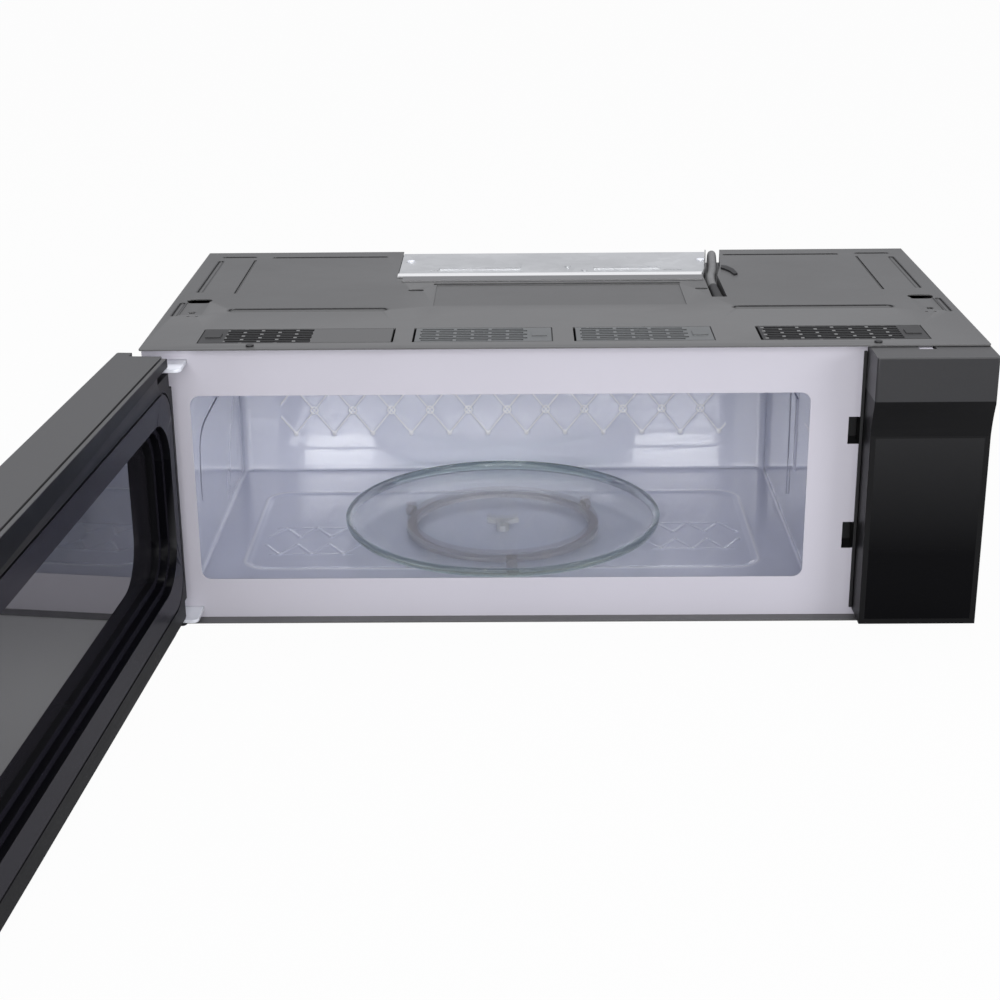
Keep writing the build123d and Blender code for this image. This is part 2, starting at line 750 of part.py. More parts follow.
# ---- Top vents ---------------------------------------------------------------------------
def vent_axis(name):
    """x of the cover's hinge rod and the way the cover reaches from it."""
    left, right = vent_opening(name)
    tab_left = vents[name][2]
    inset = vent_hinge_gap + vent_rod_radius
    return (right - inset, -1) if tab_left else (left + inset, 1)


vent_rod_height = inside_top - seat - vent_rod_radius


def vent_cover(name):
    left, right = vent_opening(name)
    axis, way = vent_axis(name)
    near = axis - way * vent_rod_radius
    far = left + vent_gap if way < 0 else right - vent_gap
    x0, x1 = min(near, far), max(near, far)
    d0, d1 = vent_depth + vent_gap, vent_depth + vent_length - vent_gap
    cover = slab(x0, x1, d0, d1, inside_top, body_height)
    tab_end = far - way * vent_tab_width
    slot_far = tab_end
    slot_near = near + way * (vent_plain_width if name == "vent_cover_1" else vent_edge_width)
    s0, s1 = min(slot_near, slot_far), max(slot_near, slot_far)
    pitch = (d1 - d0 - 4.0) / vent_rows
    for row in range(vent_rows):
        d = d0 + 2.0 + pitch * (row + 0.5)
        start = s0 - (vent_slot_pitch / 2 if row % 2 else 0.0)
        while start < s1:
            a = max(start + vent_bridge / 2, s0)
            b = min(start + vent_slot_pitch - vent_bridge / 2, s1)
            if b - a > vent_bridge:
                cover -= slab(a, b, d - vent_slot_height / 2, d + vent_slot_height / 2,
                              inside_top, body_height)
            start += vent_slot_pitch
    middle = vent_depth + vent_length / 2
    t0, t1 = min(far - way * 4, far - way * 18), max(far - way * 4, far - way * 18)
    cover += slab(t0, t1, middle - 7, middle + 7, body_height, body_height + 1.0)
    cover += slab(axis - 1, axis + 1, d0, d1, vent_rod_height, inside_top)
    rod = along_y(axis, vent_depth - 5, vent_depth + vent_length + 5, vent_rod_height, vent_rod_radius)
    return cover + rod


def vent_duct(name):
    """Walls under a vent, with ledges for its cover and a lip for the filter."""
    left, right = vent_opening(name)
    axis, way = vent_axis(name)
    top = inside_top
    bottom = top - vent_duct_height
    wall = 1.0
    d0, d1 = vent_depth, vent_depth + vent_length
    duct = slab(left - wall, right + wall, d0 - wall, d1 + wall, bottom, top)
    duct -= slab(left, right, d0, d1, bottom + wall, top)
    duct -= slab(left + 4, right - 4, d0 + 4, d1 - 4, bottom, bottom + wall)
    for depth in (d0 - 6.4, d1 + wall):
        duct += slab(axis - 5, axis + 5, depth, depth + 5.4, top - 8, top)
    duct -= along_y(axis, d0 - 6.4, d1 + 6.4, vent_rod_height, vent_rod_radius + running)
    far = left if way < 0 else right
    ledge0, ledge1 = min(far, far - way * 4), max(far, far - way * 4)
    duct += slab(ledge0, ledge1, d0, d1, top - wall, top)
    return duct


def vent_ducts():
    """The four ducts, one separate solid under each vent."""
    ducts = None
    for name in vents:
        duct = vent_duct(name)
        ducts = duct if ducts is None else ducts + duct
    return ducts


def charcoal_filters():
    """Charcoal pads under the two outer vents."""
    group = None
    for name in ("vent_cover_1", "vent_cover_4"):
        left, right = vent_opening(name)
        bottom = inside_top - vent_duct_height + 1.0
        pad = slab(left + seat, right - seat, vent_depth + seat, vent_depth + vent_length - seat,
                   bottom, bottom + 12)
        group = pad if group is None else group + pad
    return group


# ---- Control panel -----------------------------------------------------------------------
def facia_outline(brow, rear, inset):
    """Section of a facia as (depth, height) edges: brow, undercut, lower face."""
    lower = brow + brow_setback
    bottom = facia_bottom + inset
    top = facia_top - inset
    foot_low = (lower + inset, undercut_foot + inset)
    foot_high = (brow + inset, brow_foot + inset)
    middle = ((foot_low[0] + foot_high[0]) / 2 + 1.6, (foot_low[1] + foot_high[1]) / 2 + 0.5)
    return [
        Line((rear, bottom), (lower + inset, bottom)),
        Line((lower + inset, bottom), foot_low),
        ThreePointArc(foot_low, middle, foot_high),
        Line(foot_high, (brow + inset, top)),
        Line((brow + inset, top), (rear, top)),
        Line((rear, top), (rear, bottom)),
    ]


def facia_shell(x0, x1, brow, rear):
    """Hollow facia, open at the rear."""
    shell = bar_along_x(facia_outline(brow, rear, 0), x0, x1)
    ends = shell.edges().filter_by(Axis.Z).group_by(Axis.Y)[0]
    shell = shell.fillet(2.0, ends)
    core = bar_along_x(facia_outline(brow, rear + 1, facia_wall), x0 + facia_wall, x1 - facia_wall)
    return shell - core


def facia_glass_span(x0, x1):
    m = facia_glass_margin
    return x0 + m, x1 - m, facia_bottom + m, undercut_foot - 2.0


def control_panel_housing():
    right = half - 0.2
    shell = facia_shell(panel_left, right, panel_brow_depth, frame_recess)
    x0, x1, z0, z1 = facia_glass_span(panel_left, right)
    shell -= slab(x0, x1, lower_panel_depth - 1, lower_panel_depth + facia_wall + 1, z0, z1)
    shell -= upright(screw_x, screw_depth, facia_top - facia_wall, facia_top, screw_radius)
    shell -= slab(tab_left - seat, tab_right + 3, -facia_tab_reach - seat, frame_recess,
                  facia_top - facia_wall, facia_top)
    ledge = slab(panel_left + facia_wall, right - facia_wall, lower_panel_depth + facia_glass,
                 lower_panel_depth + facia_glass + 2, facia_bottom + facia_wall, undercut_foot + 2)
    ledge -= slab(x0 + 6, x1 - 6, lower_panel_depth + facia_glass,
                  lower_panel_depth + facia_glass + 2, z0 + 6, z1 - 6)
    return shell + ledge


def control_panel_glass():
    x0, x1, z0, z1 = facia_glass_span(panel_left, half - 0.2)
    return slab(x0, x1, lower_panel_depth, lower_panel_depth + facia_glass, z0, z1)


# ---- Door, modelled closed and then swung open ---------------------------------------------
def swing(shape):
    """Turn a piece of the closed door to the open pose."""
    turn = Pos(pivot_x, pivot_y, 0) * Rot(0, 0, -door_open_angle) * Pos(-pivot_x, -pivot_y, 0)
    return turn * shape


def hinge_notches(depth0, depth1):
    """Room at the door's hinge end for the two hinge arms."""
    x1 = door_left + hinge_notch_length
    notch = slab(door_left - 1, x1, depth0, depth1, facia_top - hinge_notch_top, facia_top + 1)
    notch += slab(door_left - 1, x1, depth0, depth1, facia_bottom - 1, facia_bottom + hinge_notch_bottom)
    return notch


def arm_pockets():
    """Slots in the door that the hinge arms turn through."""
    x1 = arm_right + 8.0
    gap = 1.4
    pockets = None
    for height in (top_arm_height, bottom_arm_height):
        pocket = slab(door_left - 1, x1, arm_front_depth - 1.1, choke_depth + 1,
                      height - gap, height + hinge_arm_thickness + gap)
        pockets = pocket if pockets is None else pockets + pocket
    return pockets


def door_frame():
    shell = facia_shell(door_left, door_right, door_brow_depth, door_rim_depth)
    x0, x1, z0, z1 = facia_glass_span(door_left, door_right)
    shell -= slab(x0, x1, lower_door_depth - 1, lower_door_depth + facia_wall + 0.5, z0, z1)
    shell -= hinge_notches(lower_door_depth + facia_wall, door_rim_depth + 1)
    shell -= arm_pockets()
    return swing(shell)


def door_outer_glass():
    x0, x1, z0, z1 = facia_glass_span(door_left, door_right)
    return swing(slab(x0, x1, lower_door_depth, lower_door_depth + facia_glass, z0, z1))


def window_cut(inset, d0, d1):
    """Window aperture, narrowed by an inset on each side."""
    return rounded_wall(window_left + inset, window_left + window_width - inset,
                        window_bottom + inset, window_top - inset,
                        d0, d1, window_corner - inset)


def latch_channel_x():
    right = door_right - facia_wall - 1.5
    return right - latch_thickness - 1.0, right


def hook_heights():
    """Middle of each hook, at the latch's rest."""
    return [bottom + 5.0 + hook_height / 2 for bottom in latch_slot_bottoms]


groove_rise = 24.0           # the groove round the window, above the door's bottom
groove_drop = 25.4           # and below the door's top
groove_width = 2.0


def door_choke():
    """Inner frame of the door: fills the shell behind the glass, stepped at the window."""
    w = facia_wall
    front_face = lower_door_depth + facia_glass
    block = slab(door_left + w, door_right - w, front_face, door_rim_depth,
                 facia_bottom + w, facia_top - w)
    block += rounded_wall(door_left + 4, door_right - 4, facia_bottom + 6, facia_top - 6,
                          door_rim_depth, choke_depth, 14.0)
    block += rounded_wall(door_left + 4, door_right - 4, facia_bottom + 6, facia_top - choke_lip_drop,
                          door_rim_depth + choke_lip_gap, choke_depth, 14.0)
    upper = slab(door_left + w, door_right - w, door_brow_depth + w, front_face,
                 brow_foot + w + 1.5, facia_top - w)
    block += upper
    block -= slab(door_left + 40, door_right - 40, door_brow_depth + w + 3, front_face + 12,
                  brow_foot + w + 5, facia_top - w - 3)
    total = choke_depth - inner_glass_depth()
    block -= window_cut(0, choke_depth - total / 3, choke_depth)
    block -= window_cut(window_step, choke_depth - 2 * total / 3, choke_depth - total / 3)
    block -= window_cut(2 * window_step, inner_glass_depth(), choke_depth - 2 * total / 3)
    block -= window_cut(window_step, front_face - 1, inner_glass_depth())
    g0, g1 = facia_bottom + groove_rise, facia_top - groove_drop
    gw = groove_width
    groove = rounded_wall(door_left + 9, door_right - 9, g0, g1, choke_depth - 1.5, choke_depth, 32.0)
    groove -= rounded_wall(door_left + 9 + gw, door_right - 9 - gw, g0 + gw, g1 - gw,
                           choke_depth - 1.5, choke_depth, 32.0 - gw)
    block -= groove
    x0, x1 = latch_channel_x()
    hooks = hook_heights()
    block -= slab(x0, x1, -6.5, door_rim_depth - 1.5, hooks[0] - 22, hooks[1] + 16 + latch_spring_length)
    for middle in hooks:
        block -= slab(x0, x1, -6.5, choke_depth, middle - hook_height / 2 - hook_tooth - 1,
                      middle + hook_height / 2 + latch_travel + 1)
    block -= hinge_notches(door_brow_depth + w, choke_depth)
    block -= arm_pockets()
    block -= hinge_pins_closed(seat)
    return swing(block)


def inner_glass_depth():
    """Depth of the inner glass's rear face, in the closed door."""
    return lower_door_depth + facia_glass + inner_glass_lift


def door_inner_glass():
    back = inner_glass_depth()
    return swing(window_cut(window_step + seat, back - inner_glass, back))


def door_screen():
    back = inner_glass_depth() - inner_glass - 0.1
    return swing(window_cut(window_step + seat, back - screen_sheet, back))


def hinge_pins_closed(spare=0.0):
    """Two steel pins with shouldered bosses, at the closed door's hinge end."""
    stem, boss = hinge_pin_radius + spare, hinge_boss_radius + spare
    top_floor = facia_top - hinge_notch_top
    low_roof = facia_bottom + hinge_notch_bottom
    pins = upright(pivot_x, pivot_depth, top_floor - 16, top_arm_height + hinge_arm_thickness + 2, stem)
    pins += upright(pivot_x, pivot_depth, top_floor, top_arm_height - 0.5, boss)
    low = upright(pivot_x, pivot_depth, bottom_arm_height - 0.6, low_roof + 16, stem)
    low += upright(pivot_x, pivot_depth, bottom_arm_height + hinge_arm_thickness + 0.5, low_roof, boss)
    return pins + low


def door_hinge_pins():
    return swing(hinge_pins_closed())


latch_spring_length = 18.0
latch_spring_radius = 1.6
latch_spring_wire = 0.45


def latch_spring():
    """Compression spring between the lever's upper end and its pocket's roof."""
    c0, c1 = latch_channel_x()
    low = hook_heights()[1] + 16
    wire = latch_spring_wire
    length = latch_spring_length - 2 * wire
    x, y = (c0 + c1) / 2, front
    path = Pos(x, y, low + wire) * Helix(length / 8, length, latch_spring_radius)
    spring = sweep(Plane(origin=path @ 0, z_dir=path % 0) * Circle(wire), path=path, is_frenet=True)
    return swing(spring)


def door_latch():
    """One-piece lever in the door's free end, with two hooks."""
    c0, c1 = latch_channel_x()
    x0, x1 = c0 + 0.5, c1 - 0.5
    hooks = hook_heights()
    lever = slab(x0, x1, -6.0, door_rim_depth - 2, hooks[0] - 16, hooks[1] + 16)
    tip = frame_recess + hook_reach
    for middle in hooks:
        low, high = middle - hook_height / 2, middle + hook_height / 2
        lever += slab(x0, x1, door_rim_depth - 2, tip, low, high)
        lever += slab(x0, x1, tip - 6, tip, low - hook_tooth, low)
    return swing(lever)


# ---- Turntable ---------------------------------------------------------------------------
def turned(outline):
    """Revolve an outline of (radius, height) points about the turntable's axis."""
    face = Plane.XZ * make_face(Polyline(*outline, close=True))
    return Pos(turntable_x, turntable_y, 0) * revolve(face, Axis.Z)


def turntable_coupler():
    top = plate_underside
    hub = upright(turntable_x, turntable_depth, cavity_floor_height + seat, top - seat, 6.5)
    for index in range(3):
        lobe = Pos(11, 0, 0) * Box(13, 5, 5)
        hub += (Pos(turntable_x, turntable_y, top - seat - 2.5) * Rot(0, 0, 120 * index + 30)) * lobe
    hub -= upright(turntable_x, turntable_depth, cavity_floor_height, cavity_floor_height + 6 + seat,
                   motor_shaft_radius + running)
    return hub


def turntable_plate():
    """Glass dish with a raised, nearly upright rim."""
    low = plate_underside
    t = plate_thickness
    r = plate_radius
    rim = plate_rim_height
    return turned([
        (0, low), (r - 8, low), (r - 2.5, low + 1.5), (r - 0.5, low + 4.5), (r, rim - 1.5), (r, rim),
        (r - 4, rim), (r - 7, low + t + 3), (r - 14, low + t), (0, low + t)])


def wheel_place(index):
    middle = cavity_floor_height + wheel_radius
    return Pos(turntable_x, turntable_y, middle) * Rot(0, 0, 120 * index + 35)


def roller_ring():
    middle = cavity_floor_height + wheel_radius
    z0, z1 = middle - ring_thickness / 2, middle + ring_thickness / 2
    ring = upright(turntable_x, turntable_depth, z0, z1, ring_outer)
    ring -= upright(turntable_x, turntable_depth, z0, z1, ring_inner)
    for index in range(3):
        reach = wheel_track + wheel_width / 2 + 1.6 - ring_outer + 2
        axle = Pos(ring_outer - 2 + reach / 2, 0, 0) * Rot(0, 90, 0) * Cylinder(wheel_axle_radius, reach)
        head = Pos(wheel_track + wheel_width / 2 + 1.2, 0, 0) * Rot(0, 90, 0) * Cylinder(2.6, 1.4)
        shoulder = Pos(wheel_track - wheel_width / 2 - 2.4, 0, 0) * Rot(0, 90, 0) * Cylinder(1.9, 4.0)
        ring += wheel_place(index) * (axle + head + shoulder)
    return ring


def roller_wheel(index):
    outer = Cylinder(wheel_radius - 0.05, wheel_width)
    wheel = Rot(0, 90, 0) * (outer - Cylinder(wheel_axle_radius + running, wheel_width))
    return wheel_place(index) * Pos(wheel_track, 0, 0) * wheel


# ---- Screws and mounting nuts ------------------------------------------------------------
def top_screws():
    """Screws in the top panel's front dimples, the one over the door no longer than its two sheets."""
    z = body_height
    screws = upright(screw_x, screw_depth, z - screw_length, z, screw_radius - running)
    screws += upright(-screw_x, screw_depth, z - 2 * sheet, z, screw_radius - running)
    return screws + mirrored(upright(screw_x, screw_depth, z, z + screw_head, screw_head_radius))


def mount_nut_bars():
    """Threaded bars under the two pockets that take the cabinet bolts."""
    z = inside_top
    bar = slab(mount_x - 10, mount_x + 10, mount_depth - 12, mount_depth + 30,
               z - mount_bar_thickness, z)
    bar -= upright(mount_x, mount_depth, z - mount_bar_thickness, z, mount_thread_radius)
    return mirrored(bar)


# ---- Cord --------------------------------------------------------------------------------
cord_radius = cord_diameter / 2
channel_floor = inside_top - cord_channel_drop
cord_top_height = body_height - cord_radius - 1.2
cord_floor_height = cord_radius + coil_lift
coil_x = 70.0
coil_depth = body_depth + 89.0
relief_length = 58.0


def cord_channel():
    """Sheet trough under the top that leads the cord to the rear edge."""
    trough = polygon_plate(channel_outline(1.0), channel_floor - 1.0, inside_top)
    inner = polygon_plate(channel_outline(0), channel_floor, inside_top)
    trough -= inner
    return trough


def cord_route():
    """Free stretch of the cord, as (x, depth, height) points."""
    z = cord_top_height
    floor = cord_floor_height
    back = body_depth
    return [
        (158.0, channel_front + relief_length + 3, z),
        (158.0, 282.0, z),
        (165.0, 322.0, z),
        (169.0, 364.0, z),
        (174.6, back + 27.0, z),
        (176.5, back + 52.0, z - 55.0),
        (178.5, back + 71.0, z - 104.0),
        (181.5, back + 79.0, z - 148.0),
        (184.0, back + 81.0, z - 192.0),
        (180.0, back + 97.0, floor + 16.0),
        (158.0, back + 127.0, floor),
        (116.0, coil_depth + coil_radius, floor),
        (coil_x, coil_depth + coil_radius, floor),
    ]


def world(point):
    x, depth, z = point
    return Vector(x, front + depth, z)


def cord_path():
    points = [world(p) for p in cord_route()]
    radii = []
    for before, here, after in zip(points, points[1:], points[2:]):
        run = min((here - before).length, (after - here).length)
        turn = math.radians((here - before).get_angle(after - here))
        radii.append(0.45 * run / math.tan(turn / 2))
    print("cord radii", [round(r, 1) for r in radii])
    return FilletPolyline(*points, radius=radii)


def tube(path, start, direction):
    """Sweep the cord's round section along a path."""
    section = Plane(origin=start, z_dir=direction) * Circle(cord_radius)
    return sweep(section, path=path)


def power_cord():
    path = cord_path()
    cord = tube(path, path @ 0, path % 0)
    ratio = cord.volume / (math.pi * cord_radius ** 2 * path.length)
    print("cord length", round(path.length, 1), "volume ratio", round(ratio, 5))
    return cord


def coil_point(turn):
    """Point and direction on the coil after a number of turns, wound anticlockwise."""
    angle = math.pi / 2 + 2 * math.pi * turn
    climb = coil_pitch * turn
    point = Vector(coil_x + coil_radius * math.cos(angle),
                   front + coil_depth + coil_radius * math.sin(angle), cord_floor_height + climb)
    slope = coil_pitch if turn > 0 else 0.0
    way = Vector(-2 * math.pi * coil_radius * math.sin(angle),
                 2 * math.pi * coil_radius * math.cos(angle), slope)
    return point, way.normalized()


def biarc(p0, t0, p1, t1):
    """Two arcs that join two points with given directions smoothly."""
    v = p1 - p0
    t = t0 + t1
    a = 2 * (1 - t0.dot(t1))
    d = (-v.dot(t) + math.sqrt(v.dot(t) ** 2 + a * v.dot(v))) / a
    middle = (p0 + p1 + (t0 - t1) * d) * 0.5
    way = (middle - (p0 + t0 * d)).normalized()
    return [TangentArc(p0, middle, tangent=t0), TangentArc(middle, p1, tangent=way)]


def coil_path():
    edges = []
    steps = int(round(4 * coil_turns))
    for step in range(steps):
        p0, t0 = coil_point(step / 4)
        p1, t1 = coil_point((step + 1) / 4)
        edges += biarc(p0, t0, p1, t1)
    return Wire(edges)


def cord_coil():
    path = coil_path()
    p0, t0 = coil_point(0)
    coil = tube(path, p0, t0)
    samples = [path @ (i / 400) for i in range(401)]
    length = path.length
    skip = int(400 * 3 * cord_diameter / length)
    gap = min((samples[i] - samples[j]).length for i in range(401) for j in range(i + skip, 401))
    ratio = coil.volume / (math.pi * cord_radius ** 2 * length)
    print("coil length", round(length, 1), "gap to itself", round(gap - cord_diameter, 2),
          "volume ratio", round(ratio, 5))
    return coil


plug_length = 34.0
plug_height = 25.0
plug_width = 27.0
plug_neck = 22.0
plug_rest = 16.6             # the plug's underside, lying on the coil


def plug_frame():
    """Place of the plug: origin at the coil's end, +X along the cord's way."""
    end, way = coil_point(coil_turns)
    flat = Vector(way.X, way.Y, 0).normalized()
    return Plane(origin=end, x_dir=flat, z_dir=(0, 0, 1))


def power_plug():
    """Three-pin plug with a tapered neck, lying on the surface."""
    frame = plug_frame()
    end = frame.origin
    drop = end.Z - plug_height / 2 - plug_rest
    climb = coil_pitch / (2 * math.pi * coil_radius)
    tilted = Plane(origin=(0, 0, 0), x_dir=(0, 1, 0), z_dir=(1, 0, climb))
    shoulder = Plane(origin=(plug_neck, 0, -drop), x_dir=(0, 1, 0), z_dir=(1, 0, 0))
    neck = loft([tilted * Circle(cord_radius + 0.4), shoulder * Rectangle(15, 14)])
    body = Pos(plug_neck + plug_length / 2, 0, -drop) * Box(plug_length, plug_width, plug_height)
    body = body.fillet(5.0, body.edges().filter_by(Axis.X))
    x = plug_neck + plug_length
    for side in (-1, 1):
        body += Pos(x + 9, side * 6.35, -drop + 3) * Box(18, 1.6, 6.3)
    body += Pos(x + 10, 0, -drop - 7.5) * Rot(0, 90, 0) * Cylinder(2.4, 20)
    return frame * (neck + body)


def cord_tie():
    """Band round the two turns where the coil overlaps itself."""
    turn = 0.1
    p0, t0 = coil_point(turn)
    height = cord_diameter + coil_pitch
    middle = Vector(p0.X, p0.Y, p0.Z + coil_pitch / 2)
    place = Plane(origin=middle, x_dir=Vector(-t0.Y, t0.X, 0).normalized(), z_dir=Vector(t0.X, t0.Y, 0).normalized())
    outer = RectangleRounded(cord_diameter + 2.8, height + 2.8, 5.6)
    inner = RectangleRounded(cord_diameter + 1.2, height + 1.2, 4.7)
    band = extrude(place * (outer - inner), amount=2.5, both=True)
    return band


def strain_relief():
    """Flange on the channel's front wall and a tapered boot round the cord's start."""
    x, d, z = channel_line[0][0], channel_front, cord_top_height
    start = Plane(origin=(x, front + d, z), x_dir=(1, 0, 0), z_dir=(0, 1, 0))
    boot = loft([start * Circle(cord_radius + 1.1), start.offset(relief_length + 3) * Circle(cord_radius + 0.25)])
    flange = along_y(x, d, d + 3, z, cord_radius + 1.15)
    return boot + flange


def cord_clip():
    """Curved hook on the top beside the channel, its tongue reaching to the cord."""
    plan = [
        (173.5, 319.0),
        (179.0, 315.0),
        (184.5, 301.0),
        (186.5, 280.0),
        (182.5, 277.0),
        (179.5, 292.0),
        (175.0, 303.0),
        (172.0, 307.0),
    ]
    return polygon_plate(plan, body_height, body_height + 2.0)


# ---- Write every piece -------------------------------------------------------------------
save("top_panel", top_panel())
save("side_panel_left", side_panel(-1))
save("side_panel_right", side_panel(1))
save("back_panel", back_panel())
save("base_panel", base_panel())
save("front_frame", front_frame())
save("hinge_bracket_top", hinge_bracket(top_arm_height, -16.0))
save("hinge_bracket_bottom", hinge_bracket(bottom_arm_height, 16.0))
save("cavity", cavity())
save("waveguide_cover", waveguide_cover())
save("cavity_lamp", cavity_lamp())
save("waveguide", waveguide())
save("magnetron", magnetron())
save("hv_transformer", hv_transformer())
save("hv_capacitor", hv_capacitor())
save("cooling_fan_housing", cooling_fan_housing())
save("cooling_fan", cooling_fan())
save("latch_bracket", latch_bracket())
save("interlock_switches", interlock_switches())
save("control_board", control_board())
save("turntable_motor", turntable_motor())
save("blower_plate", blower_plate())
save("blower_housing", blower_housing())
save("blower_motor", blower_motor())
save("blower_wheel", blower_wheel())
for vent_name in vents:
    save(vent_name, vent_cover(vent_name))
save("vent_ducts", vent_ducts())
save("charcoal_filters", charcoal_filters())
save("grease_filter_left", grease_filter(-1))
save("grease_filter_right", grease_filter(1))
save("lamp_lens", lamp_lens())
save("lamp_boards", lamp_boards())
save("control_panel_housing", control_panel_housing())
save("control_panel_glass", control_panel_glass())
save("door_frame", door_frame())
save("door_outer_glass", door_outer_glass())
save("door_choke", door_choke())
save("door_inner_glass", door_inner_glass())
save("door_screen", door_screen())
save("door_hinge_pins", door_hinge_pins())
save("door_latch", door_latch())
save("latch_spring", latch_spring())
save("turntable_coupler", turntable_coupler())
save("turntable_plate", turntable_plate())
save("roller_ring", roller_ring())
for wheel_number in range(3):
    save(f"roller_wheel_{wheel_number + 1}", roller_wheel(wheel_number))
save("top_screws", top_screws())
save("mount_nut_bars", mount_nut_bars())
save("strain_relief", strain_relief())
save("power_cord", power_cord())
save("cord_coil", cord_coil())
save("power_plug", power_plug())
save("cord_tie", cord_tie())
save("cord_clip", cord_clip())
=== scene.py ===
import math
import bpy
from mathutils import Matrix, Vector


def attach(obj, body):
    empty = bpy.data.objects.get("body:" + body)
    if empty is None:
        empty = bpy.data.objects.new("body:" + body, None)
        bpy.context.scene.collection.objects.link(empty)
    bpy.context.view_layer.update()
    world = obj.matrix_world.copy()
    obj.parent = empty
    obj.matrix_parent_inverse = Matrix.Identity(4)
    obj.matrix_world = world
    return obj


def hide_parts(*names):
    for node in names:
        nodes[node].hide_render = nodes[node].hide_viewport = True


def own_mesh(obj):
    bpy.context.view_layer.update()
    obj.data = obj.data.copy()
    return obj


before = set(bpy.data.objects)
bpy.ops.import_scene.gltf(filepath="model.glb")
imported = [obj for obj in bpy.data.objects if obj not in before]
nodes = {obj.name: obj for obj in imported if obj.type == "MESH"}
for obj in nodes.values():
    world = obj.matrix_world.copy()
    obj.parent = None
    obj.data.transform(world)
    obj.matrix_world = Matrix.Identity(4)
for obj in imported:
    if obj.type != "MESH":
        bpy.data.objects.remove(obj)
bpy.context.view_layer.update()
scene = bpy.context.scene
scene.view_settings.view_transform = "Standard"

FRONT = -0.2015              # y of the top panel's front edge


def at(x, depth, z):
    """A point in metres from millimetres: x, distance behind the front edge, height."""
    return Vector((x / 1000, FRONT + depth / 1000, z / 1000))


TABLE = (-57.4, 176.7)       # turntable axis: x, depth

# ---- Camera, solved from the photograph ----------------------------------------
FOCAL = 1803.873             # pixels, for a picture 1000 pixels wide
PICTURE = 1000.0
SENSOR = 36.0
CAMERA_PLACE = (-39.555, -1553.657, 688.406)
PITCH, YAW, ROLL = 0.349461, -0.011848, -0.009512


def place_camera():
    level = math.cos(PITCH)
    forward = Vector((math.sin(YAW) * level, math.cos(YAW) * level, -math.sin(PITCH)))
    right = Vector((math.cos(YAW), -math.sin(YAW), 0.0))
    up = right.cross(forward)
    right_rolled = right * math.cos(ROLL) + up * math.sin(ROLL)
    up_rolled = up * math.cos(ROLL) - right * math.sin(ROLL)
    data = bpy.data.cameras.new("camera")
    data.sensor_width = SENSOR
    data.lens = FOCAL / PICTURE * SENSOR
    data.clip_start = 0.05
    camera = bpy.data.objects.new("camera", data)
    turn = Matrix((right_rolled, up_rolled, -forward)).transposed().to_4x4()
    camera.matrix_world = Matrix.Translation(at(*CAMERA_PLACE)) @ turn
    scene.collection.objects.link(camera)
    scene.camera = camera


# ---- Materials ---------------------------------------------------------------
def new_material(name):
    m = bpy.data.materials.new(name)
    m.use_nodes = True
    tree = m.node_tree
    return m, tree, tree.nodes["Principled BSDF"]


def link(tree, a, b):
    tree.links.new(a, b)


def sums(tree, operation, a, b):
    """A Math node on a socket and a socket or number."""
    node = tree.nodes.new("ShaderNodeMath")
    node.operation = operation
    link(tree, a, node.inputs[0])
    if isinstance(b, (int, float)):
        node.inputs[1].default_value = b
    else:
        link(tree, b, node.inputs[1])
    return node.outputs["Value"]


def vectors(tree, operation, a, *constants):
    """A Vector Math node on a socket and constant vectors."""
    node = tree.nodes.new("ShaderNodeVectorMath")
    node.operation = operation
    link(tree, a, node.inputs[0])
    for i, constant in enumerate(constants):
        node.inputs[i + 1].default_value = constant
    return node.outputs["Value" if operation in ("LENGTH", "DOT_PRODUCT") else "Vector"]


def ranged(tree, value, start, end, low=0.0, high=1.0, smooth=False):
    """A Map Range node: from start to end the result goes from low to high."""
    node = tree.nodes.new("ShaderNodeMapRange")
    if smooth:
        node.interpolation_type = "SMOOTHSTEP"
    node.inputs["From Min"].default_value = start
    node.inputs["From Max"].default_value = end
    node.inputs["To Min"].default_value = low
    node.inputs["To Max"].default_value = high
    link(tree, value, node.inputs["Value"])
    return node.outputs["Result"]


def blended(tree, factor, a, b):
    """A colour Mix node: each of a and b is a socket or a colour."""
    node = tree.nodes.new("ShaderNodeMix")
    node.data_type = "RGBA"
    link(tree, factor, node.inputs["Factor"])
    for name, value in (("A", a), ("B", b)):
        if isinstance(value, bpy.types.NodeSocket):
            link(tree, value, node.inputs[name])
        else:
            node.inputs[name].default_value = list(value) + [1]
    return node.outputs["Result"]


def object_coords(tree):
    return tree.nodes.new("ShaderNodeTexCoord").outputs["Object"]


def tint(tree, shader, mask, colour, rough=None):
    """Blend another colour and gloss into a surface where the mask is one."""
    base = shader.inputs["Base Color"]
    link(tree, blended(tree, mask, base.links[0].from_socket, colour), base)
    if rough is not None:
        gloss = shader.inputs["Roughness"]
        node = tree.nodes.new("ShaderNodeMix")
        node.inputs["B"].default_value = rough
        link(tree, mask, node.inputs["Factor"])
        link(tree, gloss.links[0].from_socket, node.inputs["A"])
        link(tree, node.outputs["Result"], gloss)


def noise(tree, scale, detail=4.0, stretch=(1, 1, 1)):
    mapping = tree.nodes.new("ShaderNodeMapping")
    mapping.inputs["Scale"].default_value = stretch
    n = tree.nodes.new("ShaderNodeTexNoise")
    n.inputs["Scale"].default_value = scale
    n.inputs["Detail"].default_value = detail
    link(tree, object_coords(tree), mapping.inputs["Vector"])
    link(tree, mapping.outputs["Vector"], n.inputs["Vector"])
    return n.outputs["Fac"]


def mapped(tree, value, low, high):
    """The middle of a noise, stretched to run from low to high."""
    return ranged(tree, value, 0.3, 0.7, low, high)


